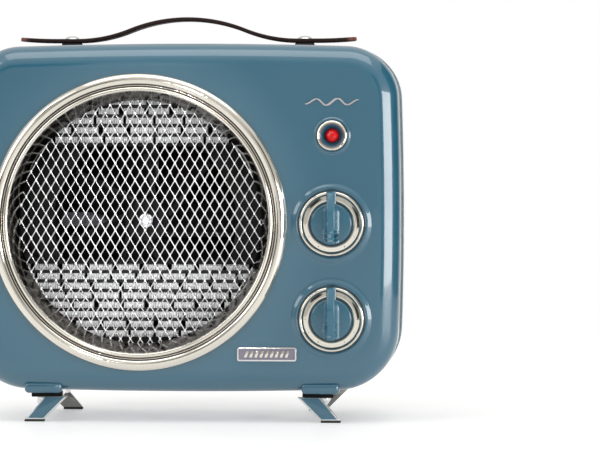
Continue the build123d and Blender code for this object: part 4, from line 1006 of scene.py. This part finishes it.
# %% Intake grille
grille_high = span("rear_grille")[1]
grille_y = (back + grille_high.y) / 2
wheel = spin_section([(67.4, -0.9, 0.5), (75.0, -0.9, 0.9), (75.0, 1.0), (67.4, 1.0, 0.3)],
                     (intake.x, grille_y, intake.z), steps=128)
radius, bar_wide, bar_pitch, smallest = 62.0, 2.6, 8.0, 15
while radius > smallest:
    bar = [(radius - bar_wide, -2.6, 0.4), (radius, -2.6, 0.4), (radius, 0.9, 0.8),
           (radius - bar_wide, 0.9, 0.8)]
    join(wheel, spin_section(bar, (intake.x, grille_y, intake.z), steps=96))
    radius -= bar_pitch
join(wheel, spin_section([(0, 1.0), (9.0, 0.9), (12.2, 0.4), (13.0, -0.6), (13.0, -2.6), (0, -2.6)],
                         (intake.x, grille_y, intake.z), steps=64, closed=False))
for spoke in range(8):
    arm = soft_block((-1.3, -2.4, 11.0), (1.3, 0.6, 69.0), 0.5)
    at = Matrix.Translation((intake.x, grille_y, intake.z))
    bmesh.ops.transform(arm, matrix=at @ Matrix.Rotation(spoke * pi / 4, 4, "Y"), verts=arm.verts)
    join(wheel, arm)
place_piece("intake_wheel", wheel, "black_moulding", "rear_grille")
gauze = spin_section([(0, -0.3), (69.0, -0.3), (69.0, 0.3), (0, 0.3)], (intake.x, back - 4.6, intake.z),
                     closed=False)
place_piece("shade_gauze", gauze, "shade_gauze", slot="black_rubber")

# %% Mains gland
gland_section = [(3.5, -5.4), (9.0, -5.4, 0.4), (9.0, -2.4), (6.5, -2.4), (6.5, 0), (9.0, 0),
                 (9.0, 2.6, 0.8), (7.6, 3.4),
                 (6.2, 5.2), (5.5, 7.0, 0.5), (3.5, 7.0, 0.4)]
place_piece("mains_gland", spin_section(gland_section, (gland.x, back, gland.z), steps=64), "black_rubber",
            "cord_gland")

# %% [markdown]
# ## The parts inside
# The working parts keep their CAD meshes: they are seen only through the mesh and the rear
# wheel. Each one still gets its own finish through the material slots of its object.

# %% Finish the carried-over parts
inside = {
    "black_moulding": ["heater_frame", "fan_shroud", "impeller", "rotary_switch", "terminal_block"],
    # the near-black ceramic is painted shade
    "heating_ceramic": ["upper_ceramic_bars", "lower_ceramic_bars"],
    "terminal_brass": ["busbars", "motor_bushes"],
    "dark_steel": ["mesh_retainer", "motor_bracket"],
    "zinc_screws": ["retainer_screws", "shroud_screws", "motor_screws", "impeller_clip", "stud_nuts",
                    "control_nuts",
                    "foot_screws", "case_screws"],
    "shaft_steel": ["motor_shaft", "selector_shaft", "thermostat_shaft", "thermal_cutout"],
    "motor_case": ["fan_motor", "thermostat"],
    "grey_moulding": ["lamp_body"],
    "wire_sleeve": ["wiring"],
}
for finish, names in inside.items():
    for name in names:
        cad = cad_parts[name]
        cad.data.materials.clear()
        cad.data.materials.append(finishes[finish])
print(sum(map(len, inside.values())), "CAD nodes finished")

# %% [markdown]
# ## The studio
# The heater stands on a white floor in a white room; the floor gives off a little light of its
# own, which keeps it white. The lamps are big soft panels: one overhead gives the light band along
# the top edge, one at the right draws the tall upright reflection on the rounded corner, and one
# at the left fills. A narrow spot shines into the outlet. Polished metal needs something dark to
# mirror, so six black boards stand round the heater, where the camera doesn't see them.

# %% Floor
scene = bpy.context.scene
floor_finish = new_finish("studio_floor", (200, 200, 200), (196, 196, 197), 0.4, 0.5, grain=(40.0, 0.0),
                          Specular_IOR_Level=0.3, Emission_Color=(1, 1, 1, 1), Emission_Strength=0.42)
floor_bm = bmesh.new()
bmesh.ops.create_grid(floor_bm, x_segments=1, y_segments=1, size=1.0)
bmesh.ops.scale(floor_bm, vec=(6, 4, 1), verts=floor_bm.verts)
bmesh.ops.translate(floor_bm, vec=(0, -3, 0), verts=floor_bm.verts)
floor_mesh = bpy.data.meshes.new("studio_floor")
floor_bm.to_mesh(floor_mesh)
floor_bm.free()
floor_mesh.materials.append(floor_finish)
floor = bpy.data.objects.new("studio_floor", floor_mesh)
scene.collection.objects.link(floor)

# %% Lamps and black boards
def soft_panel(name, at, aim, width, height, power, colour=(1, 1, 1)):
    """A rectangular lamp at a point, turned to its aim."""
    lamp_data = bpy.data.lights.new(name, "AREA")
    lamp_data.shape = "RECTANGLE"
    lamp_data.size, lamp_data.size_y = width, height
    lamp_data.energy = power
    lamp_data.color = colour
    panel = bpy.data.objects.new(name, lamp_data)
    panel.location = at
    panel.rotation_euler = (Vector(aim) - Vector(at)).to_track_quat("-Z", "Y").to_euler()
    scene.collection.objects.link(panel)
    return panel


def lit(width, height, brightness):
    """The power of a panel that should look this bright."""
    return pi * width * height * brightness


soft_panel("overhead_panel", (0.1, -0.35, 1.35), (0.05, -0.05, 0.15), 1.5, 0.8, lit(1.5, 0.8, 2.0))
soft_panel("right_softbox", (1.44, -0.9, 0.2), (0.08, -0.05, 0.15), 1.3, 0.6, lit(1.3, 0.6, 7.0))
snoot = bpy.data.objects.new("snoot", bpy.data.lights.new("snoot", "SPOT"))
snoot.data.energy, snoot.data.spot_size, snoot.data.spot_blend = 90, radians(5.4), 0.3
snoot.data.shadow_soft_size = 0.05
snoot.location = (-0.08, -1.95, 0.52)
snoot_aim = Vector((outlet.x, front, outlet.z)) * MM
snoot.rotation_euler = (snoot_aim - snoot.location).to_track_quat("-Z", "Y").to_euler()
scene.collection.objects.link(snoot)
soft_panel("left_panel", (-1.4, -1.0, 1.05), (0, -0.05, 0.14), 0.9, 1.2, lit(0.9, 1.2, 3.2))


def black_board(name, at, aim, width, height):
    """A dark board that polished metal can mirror."""
    bm = bmesh.new()
    bmesh.ops.create_grid(bm, x_segments=1, y_segments=1, size=0.5)
    bmesh.ops.scale(bm, vec=(width, height, 1), verts=bm.verts)
    mesh = bpy.data.meshes.new(name)
    bm.to_mesh(mesh)
    bm.free()
    mesh.materials.append(finishes["black_rubber"])
    board = bpy.data.objects.new(name, mesh)
    board.location = at
    board.rotation_euler = (Vector(aim) - Vector(at)).to_track_quat("Z", "Y").to_euler()
    scene.collection.objects.link(board)
    board.visible_camera = False  # it is only mirrored, and never stands in the way of a view


for name, at, width, height in (
        ("right_board", (1.26, 0.36, 0.4), 1.2, 1.6), ("slim_board", (0.75, -1.35, 0.3), 0.38, 1.0),
        ("upper_left_board", (-0.9, -0.9, 0.95), 0.35, 0.3), ("left_board", (-0.82, -0.97, 0.17), 0.42, 0.42),
        ("high_left_board", (-0.5, -1.8, 0.72), 0.4, 0.4), ("high_right_board", (0.86, -1.68, 0.79), 0.3,
                                                            0.3)):
    black_board(name, at, (0.1, -0.05, 0.15), width, height)

# %% World
ceiling_light, wall_light, front_light = 0.95, 0.8, 0.62
world = bpy.data.worlds.new("white_room")
scene.world = world
world.use_nodes = True
room = world.node_tree
walls = room.nodes["Background"]
walls.inputs["Color"].default_value = (1.0, 0.985, 0.955, 1)
seen = add_node(room, "ShaderNodeBackground", Color=(1, 1, 1, 1), Strength=1.0)
path = add_node(room, "ShaderNodeLightPath")
choose = add_node(room, "ShaderNodeMixShader")
facing_way = add_node(room, "ShaderNodeTexCoord")
axes = add_node(room, "ShaderNodeSeparateXYZ")
rise_share = add_node(room, "ShaderNodeMapRange", interpolation_type="SMOOTHSTEP")
depth_share = add_node(room, "ShaderNodeMapRange", interpolation_type="SMOOTHSTEP")
for node, values in ((rise_share, (0.0, 0.75, 0.0, ceiling_light)),
                     (depth_share, (-0.8, 0.3, front_light, wall_light))):
    for title, value in zip(("From Min", "From Max", "To Min", "To Max"), values):
        node.inputs[title].default_value = value
brightest = add_node(room, "ShaderNodeMath", operation="MAXIMUM")
wire(room, (facing_way, "Generated", axes, 0), (axes, "Z", rise_share, "Value"),
     (axes, "Y", depth_share, "Value"), (rise_share, "Result", brightest, 0),
     (depth_share, "Result", brightest, 1), (brightest, 0, walls, "Strength"),
     (path, "Is Camera Ray", choose, "Fac"), (walls, 0, choose, 1), (seen, 0, choose, 2),
     (choose, 0, room.nodes["World Output"], "Surface"))
scene.view_settings.view_transform = "Standard"
scene.cycles.caustics_reflective = False

# %% [markdown]
# ## The camera
# A long lens from a little right of square, almost level with the heater's middle, keeps the
# ring round and the sides upright.

# %% Camera
aim = Vector((0.0845, front * MM, 0.1405))
azimuth, elevation, distance = radians(3.4), radians(1.5), 2.2
stand = Vector((sin(azimuth) * cos(elevation), -cos(azimuth) * cos(elevation), sin(elevation)))
lens_data = bpy.data.cameras.new("portrait_lens")
lens_data.sensor_width = 36.0
picture_width = 0.4227
lens_data.lens = distance * lens_data.sensor_width / picture_width
camera = bpy.data.objects.new("portrait_camera", lens_data)
camera.location = aim + stand * distance
camera.rotation_euler = (-stand).to_track_quat("-Z", "Y").to_euler()
scene.collection.objects.link(camera)
scene.camera = camera
print(f"lens {lens_data.lens:.0f} mm at {distance} m")
